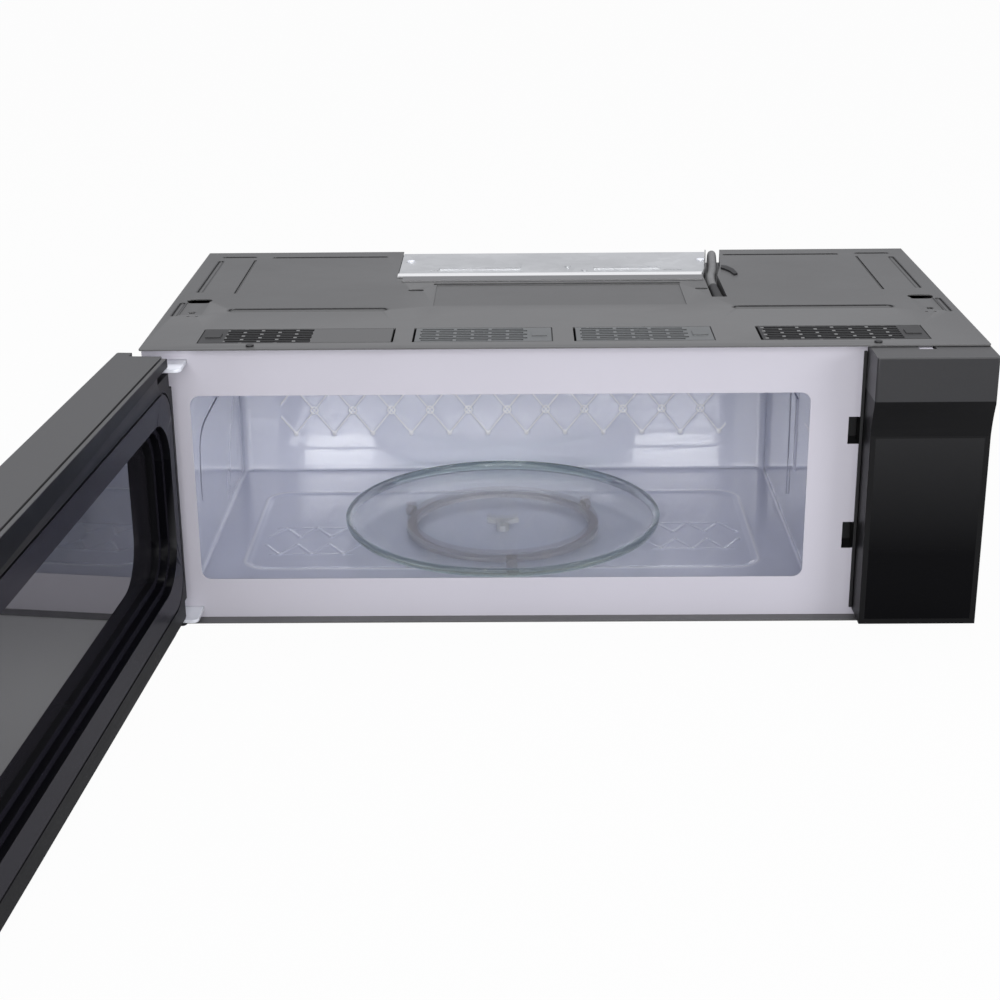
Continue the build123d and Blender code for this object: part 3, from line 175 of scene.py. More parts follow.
def finish(name, colour, rough, metal=0.0, spec=0.5, vary=0.06, cloud=6.0, grain=900.0, bump=0.05,
           rough_vary=0.05, stretch=(1, 1, 1), coat=0.0, coat_rough=0.05, alpha=1.0, edge=0.0):
    """A painted, moulded or bare surface: cloudy colour, fine grain bump, uneven gloss."""
    m, tree, shader = new_material(name)
    shader.inputs["Metallic"].default_value = metal
    shader.inputs["Specular IOR Level"].default_value = spec
    shader.inputs["Coat Weight"].default_value = coat
    shader.inputs["Coat Roughness"].default_value = coat_rough
    shader.inputs["Alpha"].default_value = alpha
    darker = [c * (1 - vary) for c in colour]
    lighter = [min(1, c * (1 + vary)) for c in colour]
    colour_out = blended(tree, mapped(tree, noise(tree, cloud, 3.0), 0.0, 1.0), darker, lighter)
    # Pointiness lightens convex edges: a painted edge highlight, with edge wear on the paints.
    if edge > 0:
        geometry = tree.nodes.new("ShaderNodeNewGeometry")
        edge_wear_and_highlight = ranged(tree, geometry.outputs["Pointiness"], 0.52, 0.62, 0.0, edge)
        colour_out = blended(tree, edge_wear_and_highlight, colour_out, [min(1, c * 1.8 + 0.05) for c in colour])
    link(tree, colour_out, shader.inputs["Base Color"])
    fine = noise(tree, grain, 2.0, stretch)
    gloss = mapped(tree, noise(tree, cloud * 3, 4.0), max(0.0, rough - rough_vary), rough + rough_vary)
    link(tree, gloss, shader.inputs["Roughness"])
    height = tree.nodes.new("ShaderNodeBump")
    height.inputs["Strength"].default_value = bump
    height.inputs["Distance"].default_value = 0.0004
    link(tree, fine, height.inputs["Height"])
    link(tree, height.outputs["Normal"], shader.inputs["Normal"])
    return m


def galvanised(name):
    """Zinc spangle: voronoi cells with differing grey and gloss."""
    m = finish(name, (0.575, 0.585, 0.60), 0.36, metal=0.55, vary=0.05, bump=0.05, rough_vary=0.08)
    tree = m.node_tree
    shader = tree.nodes["Principled BSDF"]
    cells = tree.nodes.new("ShaderNodeTexVoronoi")
    cells.inputs["Scale"].default_value = 90.0
    link(tree, object_coords(tree), cells.inputs["Vector"])
    shade = tree.nodes.new("ShaderNodeRGBToBW")
    link(tree, cells.outputs["Color"], shade.inputs["Color"])
    mix = tree.nodes.new("ShaderNodeMix")
    mix.data_type = "RGBA"
    mix.blend_type = "MULTIPLY"
    mix.inputs["Factor"].default_value = 0.10
    link(tree, shader.inputs["Base Color"].links[0].from_socket, mix.inputs["A"])
    link(tree, shade.outputs["Val"], mix.inputs["B"])
    link(tree, mix.outputs["Result"], shader.inputs["Base Color"])
    return m


def glass(name, colour, rim_colour, centre, rim_radius, rough=0.01, ripple=0.06):
    """Clear glass dish, deeper in colour where the rolled rim is looked at through its edge."""
    m, tree, shader = new_material(name)
    flat = vectors(tree, "MULTIPLY_ADD", object_coords(tree), (1, 1, 0), (-centre[0], -centre[1], 0))
    rim = ranged(tree, vectors(tree, "LENGTH", flat), rim_radius - 0.001, rim_radius + 0.001)
    link(tree, blended(tree, rim, colour, rim_colour), shader.inputs["Base Color"])
    link(tree, ranged(tree, rim, 0.0, 1.0, 0.32, 0.92), shader.inputs["Alpha"])
    shader.inputs["Transmission Weight"].default_value = 1.0
    shader.inputs["IOR"].default_value = 1.5
    shader.inputs["Roughness"].default_value = rough
    wave = tree.nodes.new("ShaderNodeBump")
    wave.inputs["Strength"].default_value = ripple
    wave.inputs["Distance"].default_value = 0.0005
    link(tree, noise(tree, 14.0, 2.0), wave.inputs["Height"])
    link(tree, wave.outputs["Normal"], shader.inputs["Normal"])
    return m


def perforated(name, colour, pitch):
    """Sheet with a grid of round holes, drawn as darker dots."""
    m, tree, shader = new_material(name)
    cells = tree.nodes.new("ShaderNodeTexVoronoi")
    cells.inputs["Scale"].default_value = 1.0 / pitch
    cells.inputs["Randomness"].default_value = 0.0
    link(tree, object_coords(tree), cells.inputs["Vector"])
    sheet = ranged(tree, cells.outputs["Distance"], 0.30, 0.36)
    link(tree, blended(tree, sheet, [c * 0.2 for c in colour], colour), shader.inputs["Base Color"])
    shader.inputs["Roughness"].default_value = 0.35
    return m


def masked(material, low, high, edge, colour, rough=None, axis="Z"):
    """Another colour between two places on an axis, which soften over edge."""
    tree = material.node_tree
    parts = tree.nodes.new("ShaderNodeSeparateXYZ")
    link(tree, object_coords(tree), parts.inputs["Vector"])
    above = ranged(tree, parts.outputs[axis], low - edge, low)
    below = ranged(tree, parts.outputs[axis], high + edge, high)
    tint(tree, tree.nodes["Principled BSDF"], sums(tree, "MULTIPLY", above, below), colour, rough)


DOOR_TURN = math.radians(93.85)            # from its rest to closed
PIVOT = (-0.3726, FRONT - 0.00975)         # the door hinge's axis
BAND_X = (-0.3705, 0.2589)                 # outer edges of the band on the closed door
BAND_MIDDLE, BAND_HALF_HEIGHT = 0.135, 0.104
BAND_CORNER = 0.031


def band_reflection_mask(material):
    """Satin band between the door's groove and its window, on the closed door's plan, with a paler
    purple-grey painted on it as a reflection of the front frame.
    """
    tree = material.node_tree
    coords = tree.nodes.new("ShaderNodeTexCoord")
    from_pivot = vectors(tree, "SUBTRACT", coords.outputs["Object"], (*PIVOT, BAND_MIDDLE))
    turn = tree.nodes.new("ShaderNodeVectorRotate")
    turn.rotation_type = "Z_AXIS"
    turn.inputs["Angle"].default_value = DOOR_TURN
    link(tree, from_pivot, turn.inputs["Vector"])
    half = (BAND_X[1] - BAND_X[0]) / 2
    centre = (BAND_X[0] + BAND_X[1]) / 2 - PIVOT[0]
    place = vectors(tree, "MULTIPLY_ADD", turn.outputs["Vector"], (1, 0, 1), (-centre, 0, 0))
    fold = vectors(tree, "ABSOLUTE", place)
    inset = vectors(tree, "SUBTRACT", fold, (half - BAND_CORNER, 0.0, BAND_HALF_HEIGHT - BAND_CORNER))
    reach = vectors(tree, "LENGTH", vectors(tree, "MAXIMUM", inset, (0, 0, 0)))
    inside = ranged(tree, reach, BAND_CORNER + 0.0005, BAND_CORNER - 0.0005)
    inner_face = (math.sin(DOOR_TURN), math.cos(DOOR_TURN), 0)
    facing = vectors(tree, "DOT_PRODUCT", coords.outputs["Normal"], inner_face)
    flat = sums(tree, "GREATER_THAN", facing, 0.8)
    mask = sums(tree, "MULTIPLY", flat, inside)
    # Painted reflection: the paler purple-grey. The lower roughness is the band's own gloss.
    tint(tree, tree.nodes["Principled BSDF"], mask, (0.015, 0.014, 0.020), 0.22)


# Each bead in mm: x, depth, half its width, half its depth, width of its flank.
BEADS = ((244.0, 377.5, 62.0, 2.5, 3.5), (243.5, 143.5, 76.5, 5.5, 5.0), (343.0, 380.5, 18.0, 2.5, 3.5),
         (360.5, 290.5, 2.5, 72.5, 3.5), (369.5, 148.5, 2.5, 26.5, 3.5), (324.0, 289.5, 1.0, 76.5, 1.5))


def beads(material):
    """Pressed beads of the top, alike left and right: rounded flanks, and painted shade as a dark line along
    each flank.
    """
    tree = material.node_tree
    shader = tree.nodes["Principled BSDF"]
    behind = 1.0                           # keeps the depth positive through the fold
    lift = vectors(tree, "MULTIPLY_ADD", object_coords(tree), (1, 1, 0), (0, behind, 0))
    fold = vectors(tree, "ABSOLUTE", lift)
    height, line = None, None
    for x, depth, half_x, half_d, flank in BEADS:
        core = min(half_x, half_d)
        near = vectors(tree, "SUBTRACT", fold, (x / 1000, behind + FRONT + depth / 1000, 0))
        past = vectors(tree, "SUBTRACT", vectors(tree, "ABSOLUTE", near),
                       ((half_x - core) / 1000, (half_d - core) / 1000, 0))
        reach = vectors(tree, "LENGTH", vectors(tree, "MAXIMUM", past, (0, 0, 0)))
        slope = ranged(tree, reach, (core + flank / 2) / 1000, max(0.0, core - flank / 2) / 1000,
                       0.0, 0.0013, smooth=True)
        off = sums(tree, "ABSOLUTE", sums(tree, "SUBTRACT", reach, core / 1000), 0.0)
        shade = ranged(tree, off, flank / 1600, 0.0, 0.0, 0.8, smooth=True)
        height = slope if height is None else sums(tree, "ADD", height, slope)
        line = shade if line is None else sums(tree, "MAXIMUM", line, shade)
    # Painted shade: a dark line along each bead's flank.
    tint(tree, shader, line, (0.012, 0.012, 0.013))
    press = tree.nodes.new("ShaderNodeBump")
    press.inputs["Strength"].default_value = 1.0
    press.inputs["Distance"].default_value = 1.0
    link(tree, height, press.inputs["Height"])
    link(tree, shader.inputs["Normal"].links[0].from_socket, press.inputs["Normal"])
    link(tree, press.outputs["Normal"], shader.inputs["Normal"])


RIB_PITCH = 0.032                          # between the ribs along a row of slots
ROW_PITCH = 0.0062286
ROW_START = FRONT + 0.0242
RIB_HALF, ROW_HALF = 0.0015, 0.0017        # half sizes of a lighter spot


def lighter_rib_spots(material, start):
    """Lighter spots on the short ribs between the slots of a vent cover, in the cover's own pattern."""
    tree = material.node_tree
    parts = tree.nodes.new("ShaderNodeSeparateXYZ")
    link(tree, object_coords(tree), parts.inputs["Vector"])
    along = sums(tree, "DIVIDE", sums(tree, "SUBTRACT", parts.outputs["X"], start / 1000), RIB_PITCH)
    across = sums(tree, "DIVIDE", sums(tree, "SUBTRACT", parts.outputs["Y"], ROW_START), ROW_PITCH)
    odd = sums(tree, "MODULO", sums(tree, "FLOOR", across, 0.0), 2.0)
    shifted = sums(tree, "ADD", sums(tree, "MULTIPLY", odd, 0.5), along)
    away_x = sums(tree, "PINGPONG", shifted, 0.5)
    away_y = sums(tree, "ABSOLUTE", sums(tree, "SUBTRACT", sums(tree, "FRACT", across, 0.0), 0.5), 0.0)
    near_x = sums(tree, "LESS_THAN", away_x, RIB_HALF / RIB_PITCH)
    near_y = sums(tree, "LESS_THAN", away_y, ROW_HALF / ROW_PITCH)
    spot = sums(tree, "MULTIPLY", near_x, near_y)
    tint(tree, tree.nodes["Principled BSDF"], spot, (0.17, 0.17, 0.17))


def painted_crest_highlight(material):
    """Paint a highlight on the pressed pattern's crests, by the attribute its mesh carries."""
    tree = material.node_tree
    crest = tree.nodes.new("ShaderNodeAttribute")
    crest.attribute_name = "crest"
    tint(tree, tree.nodes["Principled BSDF"], crest.outputs["Fac"], (1.0, 1.0, 1.0))


# edge lightens the paints' convex edges: edge wear with a painted highlight.
PAINT = dict(vary=0.03, cloud=3.0, grain=1800, bump=0.12, edge=0.25)
VENT_PLASTIC = dict(spec=0.3, vary=0.05, grain=1500, bump=0.1)


def black_glass(name):
    """Dark outer glass, painted a little paler towards its top as a painted reflection."""
    m = finish(name, (0.0015, 0.0015, 0.002), 0.10, spec=0.09, vary=0.02, grain=300, bump=0.01)
    # Painted reflection: paler towards the top.
    masked(m, 0.205, 0.30, 0.13, (0.022, 0.022, 0.023))
    return m


grey_paint = finish("grey_paint", (0.086, 0.086, 0.087), 0.42, **PAINT)
side_paint = finish("side_paint", (0.086, 0.086, 0.087), 0.42, **PAINT)
beads(grey_paint)
enamel = finish("white_enamel", (0.52, 0.505, 0.565), 0.22, vary=0.015, grain=260, bump=0.03, coat=0.3)
# Painted light: the hinge brackets have the front frame's white paint, painted paler than the frame's.
hinge_white = finish("hinge_white", (0.78, 0.80, 0.86), 0.2, vary=0.02, grain=260, bump=0.03, coat=0.3)
cavity_enamel = finish("cavity_enamel", (0.67, 0.69, 0.80), 0.16, vary=0.01, grain=220, bump=0.008,
                       rough_vary=0.02, coat=1.0, coat_rough=0.012)
# Painted shade: the right and left walls are painted darker than the back.
masked(cavity_enamel, 0.2333, 0.30, 0.0006, (0.49, 0.50, 0.61), axis="X")
masked(cavity_enamel, -0.40, -0.3483, 0.0006, (0.58, 0.60, 0.71), axis="X")
# Painted highlight on the crests of the back wall's lattice and the floor's pattern.
painted_crest_highlight(cavity_enamel)
# Painted shade: the seams' darker grey stands for the shade in their folds.
seam_shade = finish("seam_shade", (0.25, 0.26, 0.33), 0.4, vary=0.05, grain=300, bump=0.03)
zinc = galvanised("zinc")
plate_zinc = galvanised("plate_zinc")
# Painted highlight: the plate's bend is painted white. Painted shade: its front lip is painted darker.
masked(plate_zinc, FRONT + 0.2765, FRONT + 0.2905, 0.001, (1.0, 1.0, 1.0), 0.3, axis="Y")
masked(plate_zinc, FRONT, FRONT + 0.2745, 0.002, (0.20, 0.20, 0.205), 0.4, axis="Y")
steel = finish("steel", (0.5, 0.5, 0.5), 0.3, metal=1.0, vary=0.05, stretch=(1, 1, 20))
core = finish("core", (0.05, 0.05, 0.055), 0.5, vary=0.2, grain=400, bump=0.3)
can = finish("can", (0.6, 0.6, 0.6), 0.35, metal=1.0, vary=0.05, stretch=(1, 1, 30))
facia = finish("facia", (0.034, 0.034, 0.036), 0.32, spec=0.2, vary=0.03, grain=2400, bump=0.03,
               stretch=(0.02, 1, 1))
# Black below the brow, grey paint on its top.
masked(facia, -0.01, 0.2236, 0.0008, (0.0015, 0.0015, 0.002), 0.42)
masked(facia, 0.2634, 0.30, 0.0006, (0.080, 0.080, 0.082), 0.45)
panel_black = black_glass("panel_black")
door_glass = black_glass("door_glass")
# edge=0.6 paints a highlight along the edges of the choke's steps.
choke_black = finish("choke_black", (0.002, 0.002, 0.003), 0.30, spec=0.04, vary=0.03, grain=300, bump=0.012,
                     rough_vary=0.03, edge=0.6)
masked(choke_black, 0.2631, 0.30, 0.0004, (0.105, 0.105, 0.107), 0.45)
inner_glass = finish("inner_glass", (0.016, 0.015, 0.019), 0.03, spec=0.5, vary=0.02, grain=200, bump=0.004,
                     rough_vary=0.01, coat=0.5, coat_rough=0.02, alpha=0.92)
band_reflection_mask(choke_black)
screen = perforated("screen", (0.035, 0.035, 0.04), 0.0024)
black_plastic = finish("black_plastic", (0.006, 0.006, 0.007), 0.5, vary=0.1, grain=1500, bump=0.15)
dark_plastic = finish("dark_plastic", (0.018, 0.018, 0.019), 0.45, **VENT_PLASTIC)
first_vent = finish("first_vent", (0.018, 0.018, 0.019), 0.45, **VENT_PLASTIC)
# Lighter spots on the ribs between the slots, a plain tab at one end, and the first cover's plain grey half.
lighter_rib_spots(dark_plastic, 184.2)
masked(dark_plastic, 0.3080, 0.34, 0.0004, (0.030, 0.030, 0.031), axis="X")
lighter_rib_spots(first_vent, -307.8)
masked(first_vent, -0.2285, 0.0, 0.0004, (0.093, 0.093, 0.094), 0.42, axis="X")
masked(first_vent, -0.34, -0.3080, 0.0004, (0.030, 0.030, 0.031), axis="X")
vent_grey = finish("vent_grey", (0.100, 0.105, 0.108), 0.30, vary=0.04, grain=1500, bump=0.1)
pale_plastic = finish("pale_plastic", (0.55, 0.55, 0.53), 0.4, vary=0.04, grain=1200, bump=0.08)
board_green = finish("board_green", (0.02, 0.11, 0.04), 0.35, vary=0.2, cloud=60, grain=500, bump=0.2)
charcoal = finish("charcoal", (0.010, 0.010, 0.010), 0.9, vary=0.5, cloud=200, grain=600, bump=0.8)
mesh_metal = perforated("mesh_metal", (0.55, 0.55, 0.55), 0.004)
mesh_metal.node_tree.nodes["Principled BSDF"].inputs["Metallic"].default_value = 0.9
lens = finish("lens", (0.72, 0.76, 0.76), 0.35, vary=0.03, grain=500, bump=0.5, alpha=0.75)
plate_glass = glass("plate_glass", (0.92, 0.98, 0.97), (0.30, 0.40, 0.36), at(*TABLE, 0), 0.155)
ring_plastic = finish("ring_plastic", (0.27, 0.25, 0.25), 0.38, vary=0.04, grain=900, bump=0.06)
sheath = finish("sheath", (0.15, 0.15, 0.152), 0.5, vary=0.08, cloud=30, grain=1400, bump=0.12)
screw_black = finish("screw_black", (0.03, 0.03, 0.031), 0.35, metal=0.6, vary=0.1)

COATS = {
    grey_paint: ["top_panel"],
    side_paint: ["side_panel_left", "side_panel_right", "base_panel"],
    enamel: ["front_frame"],
    hinge_white: ["hinge_bracket_top", "hinge_bracket_bottom"],
    plate_zinc: ["blower_plate"],
    zinc: ["back_panel", "blower_housing", "waveguide", "lamp_boards"],
    steel: ["magnetron", "turntable_motor", "door_hinge_pins", "mount_nut_bars", "latch_spring"],
    core: ["hv_transformer", "blower_motor"],
    can: ["hv_capacitor", "cavity_lamp"],
    facia: ["control_panel_housing", "door_frame"],
    panel_black: ["control_panel_glass"],
    door_glass: ["door_outer_glass"],
    choke_black: ["door_choke"],
    inner_glass: ["door_inner_glass"],
    screen: ["door_screen"],
    black_plastic: ["vent_ducts", "blower_wheel", "interlock_switches", "strain_relief", "cord_tie",
                    "cord_clip", "latch_bracket"],
    dark_plastic: ["vent_cover_4", "cooling_fan", "cooling_fan_housing"],
    first_vent: ["vent_cover_1"],
    vent_grey: ["vent_cover_2", "vent_cover_3"],
    pale_plastic: ["door_latch", "turntable_coupler"],
    board_green: ["control_board"],
    charcoal: ["charcoal_filters"],
    mesh_metal: ["grease_filter_left", "grease_filter_right"],
    cavity_enamel: ["waveguide_cover"],
    lens: ["lamp_lens"],
    ring_plastic: ["roller_ring", "roller_wheel_1", "roller_wheel_2", "roller_wheel_3"],
    sheath: ["power_plug"],
    screw_black: ["top_screws"],
}


SOFTENED = {"door_frame": 0.7, "door_choke": 0.6, "control_panel_housing": 0.7, "top_panel": 0.3,
            "front_frame": 0.4, "hinge_bracket_top": 0.5, "hinge_bracket_bottom": 0.5, "power_plug": 0.6}


def coat(obj, material):
    obj.data.materials.clear()
    obj.data.materials.append(material)


def soften(name, width):
    """Small rounded edges on a carried node, in mm."""
    obj = nodes[name]
    weld = obj.modifiers.new("weld", "WELD")
    weld.merge_threshold = 0.00002         # joins the split corners of the carried mesh
    bevel = obj.modifiers.new("bevel", "BEVEL")
    bevel.width = width / 1000
    bevel.segments = 2
    bevel.limit_method = "ANGLE"
    bevel.angle_limit = math.radians(35.0)
    bevel.use_clamp_overlap = True
    bevel.harden_normals = True


# ---- Mesh helpers ------------------------------------------------------------
def add_mesh(name, verts, faces, material, body, replaced=(), smooth=True):
    data = bpy.data.meshes.new(name)
    data.from_pydata([tuple(v) for v in verts], [], faces)
    data.validate()
    data.update()
    obj = bpy.data.objects.new(name, data)
    scene.collection.objects.link(obj)
    obj.data.materials.append(material)
    for face in data.polygons:
        face.use_smooth = smooth
    for node in replaced:
        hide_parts(node)
    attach(obj, body)
    return obj


def loft_faces(rows, columns, closed):
    faces = []
    last = columns if closed else columns - 1
    for i in range(rows - 1):
        for j in range(last):
            k = (j + 1) % columns
            here, above = i * columns, (i + 1) * columns
            faces.append((here + j, here + k, above + k, above + j))
    return faces


# ---- Cavity ------------------------------------------------------------------
CAVITY = dict(left=-349.0, right=234.0, front=14.3, back=369.6, floor=25.0, ceiling=220.6)
CORNER = 9.0                 # upright corners at the back
COVE = 3.0                   # between the floor and the walls
FAR = 99.0                   # further than any ridge is wide


def segment_distance(px, pz, a, b):
    dx, dz = b[0] - a[0], b[1] - a[1]
    t = max(0.0, min(1.0, ((px - a[0]) * dx + (pz - a[1]) * dz) / (dx * dx + dz * dz)))
    return math.hypot(px - a[0] - t * dx, pz - a[1] - t * dz)


def ridge(distance, half):
    """Rounded ridge profile, one at its line and zero past its half width."""
    if distance >= half:
        return 0.0
    return 0.5 + 0.5 * math.cos(math.pi * distance / half)


WALL_PITCH = 43.0
WALL_LOW, WALL_RISE, WALL_ROWS = 68.0, 27.0, 5
WALL_START = -290.0
WALL_ENDS = (-306.0, 190.0)
WALL_RING = 4.0
CREST = 0.7                  # height of the lattice's lines


def wall_relief(x, z):
    """Pressed lattice on the back wall with a small ring at each upper crossing, in mm."""
    if z < WALL_LOW - 8 or not WALL_ENDS[0] <= x <= WALL_ENDS[1]:
        return 0.0
    row = int(math.floor((z - WALL_LOW) / WALL_RISE))
    column = int(math.floor((x - WALL_START) / WALL_PITCH))
    line, ring, knot = FAR, FAR, FAR
    for r in range(max(0, row - 1), min(WALL_ROWS, row + 2)):
        for c in (column - 1, column, column + 1):
            low = (WALL_START + (c + 0.5 * (r % 2)) * WALL_PITCH, WALL_LOW + r * WALL_RISE)
            away = math.hypot(x - low[0], z - low[1])
            if r % 2:
                ring = min(ring, abs(away - WALL_RING))
            else:
                knot = min(knot, away)
            for side in (-0.5, 0.5):
                high = (low[0] + side * WALL_PITCH, low[1] + WALL_RISE)
                line = min(line, segment_distance(x, z, low, high))
    return CREST * ridge(line, 1.5) + 0.8 * ridge(ring, 1.5) + 1.1 * ridge(knot, 4.2)


FLOOR_BORDER = (-306.0, 190.0, 78.0, 289.0)
BORDER_CORNER = 20.0
STARS = ((-248.0, 150.0), (133.0, 160.0))
STAR_PITCH, STAR_TIP, STAR_WAIST = 32.0, 36.0, 10.0
STAR_HALF, STAR_BAR = 60.0, 40.0


def floor_relief(x, depth):
    """Sunk rounded panel in the cavity floor with pressed star patterns, in mm."""
    x0, x1, d0, d1 = FLOOR_BORDER
    r = BORDER_CORNER
    qx = abs(x - (x0 + x1) / 2) - (x1 - x0) / 2 + r
    qd = abs(depth - (d0 + d1) / 2) - (d1 - d0) / 2 + r
    outside = math.hypot(max(qx, 0.0), max(qd, 0.0)) + min(max(qx, qd), 0.0) - r
    height = -1.3 * (0.5 - 0.5 * math.tanh(outside / 1.5)) + 0.7 * ridge(abs(outside - 5.0), 3.0)
    for sx, sd in STARS:
        if abs(x - sx) > STAR_HALF or abs(depth - sd) > STAR_HALF:
            continue
        line, knot = FAR, FAR
        for row in (-1, 1):
            tip_d, waist_d = sd + STAR_TIP * row, sd + STAR_WAIST * row
            for k in (-1, 0, 1):
                tip_x = sx + STAR_PITCH * k
                knot = min(knot, math.hypot(x - tip_x, depth - tip_d),
                           math.hypot(x - tip_x - STAR_PITCH / 2, depth - waist_d))
                for side in (-0.5, 0.5):
                    waist = (tip_x + STAR_PITCH * side, waist_d)
                    line = min(line, segment_distance(x, depth, (tip_x, tip_d), waist))
            line = min(line, segment_distance(x, depth, (sx - STAR_BAR, tip_d), (sx + STAR_BAR, tip_d)))
        height += ridge(line, 1.9) + 1.2 * ridge(knot, 3.6)
    return height


def spread(a, b, step):
    """Even places from a to b, about a step apart."""
    count = max(1, int(round(abs(b - a) / step)))
    return [a + (b - a) * i / count for i in range(count + 1)]


def upright_corner(x, depth, start):
    """Points within a rear corner, a quarter turn to the right from an angle."""
    steps = 9
    turns = [start - math.pi / 2 * i / steps for i in range(1, steps)]
    return [(x + CORNER * math.cos(a), depth + CORNER * math.sin(a)) for a in turns]


def mark_crests(obj, crests):
    """Store how far each point stands on a pressed crest, for the enamel's painted highlight to read."""
    layer = obj.data.attributes.new("crest", "FLOAT", "POINT")
    values = crests + [0.0] * (len(obj.data.vertices) - len(crests))
    layer.data.foreach_set("value", values)


def cavity_liner():
    """Pressed cavity: round upright corners at the back and a cove round the floor."""
    left, right, back, floor = (CAVITY[k] for k in ("left", "right", "back", "floor"))
    path = [(left, d) for d in spread(CAVITY["front"], back - CORNER, 12.0)]
    path += upright_corner(left + CORNER, back - CORNER, math.pi)
    path += [(x, back) for x in spread(left + CORNER, right - CORNER, 0.8)]
    path += upright_corner(right - CORNER, back - CORNER, math.pi / 2)
    path += [(right, d) for d in spread(back - CORNER, CAVITY["front"], 12.0)]
    # Finer rows where the photographed part of the lattice is.
    heights = spread(floor + COVE, 60.0, 4.0) + spread(60.0, 122.0, 0.8)[1:]
    heights += spread(122.0, CAVITY["ceiling"], 1.6)[1:]
    verts, crests = [], []
    for z in heights:
        for x, d in path:
            press = wall_relief(x, z) if d >= back - 0.001 else 0.0
            crests.append(min(1.0, press / CREST))
            verts.append(at(x, d - press, z))
    columns = len(path)
    faces = loft_faces(len(heights), columns, False)
    cove_start, steps = len(verts), 5
    middle = (left + right) / 2
    for i in range(1, steps + 1):
        a = math.pi / 2 * i / steps
        shift = COVE * (1 - math.cos(a))
        for x, d in path:
            inwards = (1 if x < middle else -1) if abs(x - middle) > (right - left) / 2 - CORNER else 0
            depth = min(d, back - shift) if d > back - CORNER else d
            verts.append(at(x + shift * inwards, depth, floor + COVE - COVE * math.sin(a)))
    for i in range(steps):
        upper = cove_start + (i - 1) * columns if i else 0
        lower = cove_start + i * columns
        faces += [(lower + j, lower + j + 1, upper + j + 1, upper + j) for j in range(columns - 1)]
    liner = add_mesh("cavity_liner", verts, faces, cavity_enamel, "cabinet",
                     replaced=("cavity",))
    mark_crests(liner, crests)


def cavity_floor():
    xs = spread(CAVITY["left"] + 1.0, CAVITY["right"] - 1.0, 1.1)
    ds = spread(CAVITY["front"], CAVITY["back"] - 1.0, 1.2)
    verts, crests = [], []
    for d in ds:
        for x in xs:
            press = floor_relief(x, d)
            crests.append(max(0.0, min(1.0, press)) * 0.7)
            verts.append(at(x, d, CAVITY["floor"] - 0.1 + press * 0.6))
    faces = loft_faces(len(ds), len(xs), False)
    floor = add_mesh("cavity_floor", verts, faces, cavity_enamel, "cabinet")
    mark_crests(floor, crests)


def cavity_ceiling():
    l, r, f, b, z = (CAVITY[k] for k in ("left", "right", "front", "back", "ceiling"))
    verts = [at(l, f, z), at(r, f, z), at(r, b, z), at(l, b, z)]
    add_mesh("cavity_ceiling", verts, [(3, 2, 1, 0)], cavity_enamel, "cabinet", smooth=False)


def cavity_shell():
    """Outer faces of the cavity, seen only through the cabinet's slots."""
    l, r, f, b, z0, z1 = (CAVITY[k] for k in ("left", "right", "front", "back", "floor", "ceiling"))
    plan = [(l - 1, f), (r + 1, f), (r + 1, b + 1), (l - 1, b + 1)]
    verts = [at(x, d, z) for z in (z0 - 1, z1 + 1) for x, d in plan]
    faces = [(0, 3, 2, 1), (4, 5, 6, 7), (3, 0, 4, 7), (1, 2, 6, 5), (2, 3, 7, 6)]
    add_mesh("cavity_shell", verts, faces, zinc, "cabinet", smooth=False)


# Each seam: its wall (-1 left, 1 right), its (depth, height) points and its width.
SEAMS = {
    "seam_left": (-1, [(214, 158), (180, 158), (140, 157.5), (118, 155), (106, 148), (100, 139), (97, 120),
                       (95, 100), (97, 88)], 1.6),
    "seam_right_rear": (1, [(187, 205), (187, 160), (186, 120), (185, 80), (185, 60)], 2.4),
    "seam_right_front": (1, [(150, 205), (150, 160), (149, 120), (148, 96)], 1.6),
}


def seam(name, side, points, width):
    """Narrow folded seam on a side wall of the cavity, painted darker as the shade in its fold."""
    x = CAVITY["left"] + 0.25 if side < 0 else CAVITY["right"] - 1.25
    verts = []
    for i, (d, z) in enumerate(points):
        before, after = points[max(0, i - 1)], points[min(len(points) - 1, i + 1)]
        along = math.hypot(after[0] - before[0], after[1] - before[1])
        nd = -(after[1] - before[1]) / along * width / 2
        nz = (after[0] - before[0]) / along * width / 2
        verts += [at(x, d + nd, z + nz), at(x, d - nd, z - nz), at(x - side * 0.2, d - nd, z - nz),
                  at(x - side * 0.2, d + nd, z + nz)]
    faces = loft_faces(len(points), 4, True)
    add_mesh(name, verts, faces, seam_shade, "cabinet", smooth=False)


# ---- Turntable plate -----------------------------------------------------------
# (radius, height) from the middle of the top, over the rim, to the middle below.
PLATE = [(6, 40.4), (30, 40.4), (60, 40.4), (96, 40.4), (102, 40.7), (108, 40.9), (140, 41.0), (146, 41.3),
         (150, 42.4), (153, 44.2), (155.2, 45.9), (156.8, 46.4), (158.4, 46.4), (159.5, 46.1), (160.0, 45.2),
         (159.8, 42.4), (159.3, 40.4), (158.3, 38.6), (156.6, 37.2), (154.4, 36.4), (151.5, 36.1),
         (142, 36.05), (110, 36.0), (30, 36.0), (6, 36.0)]


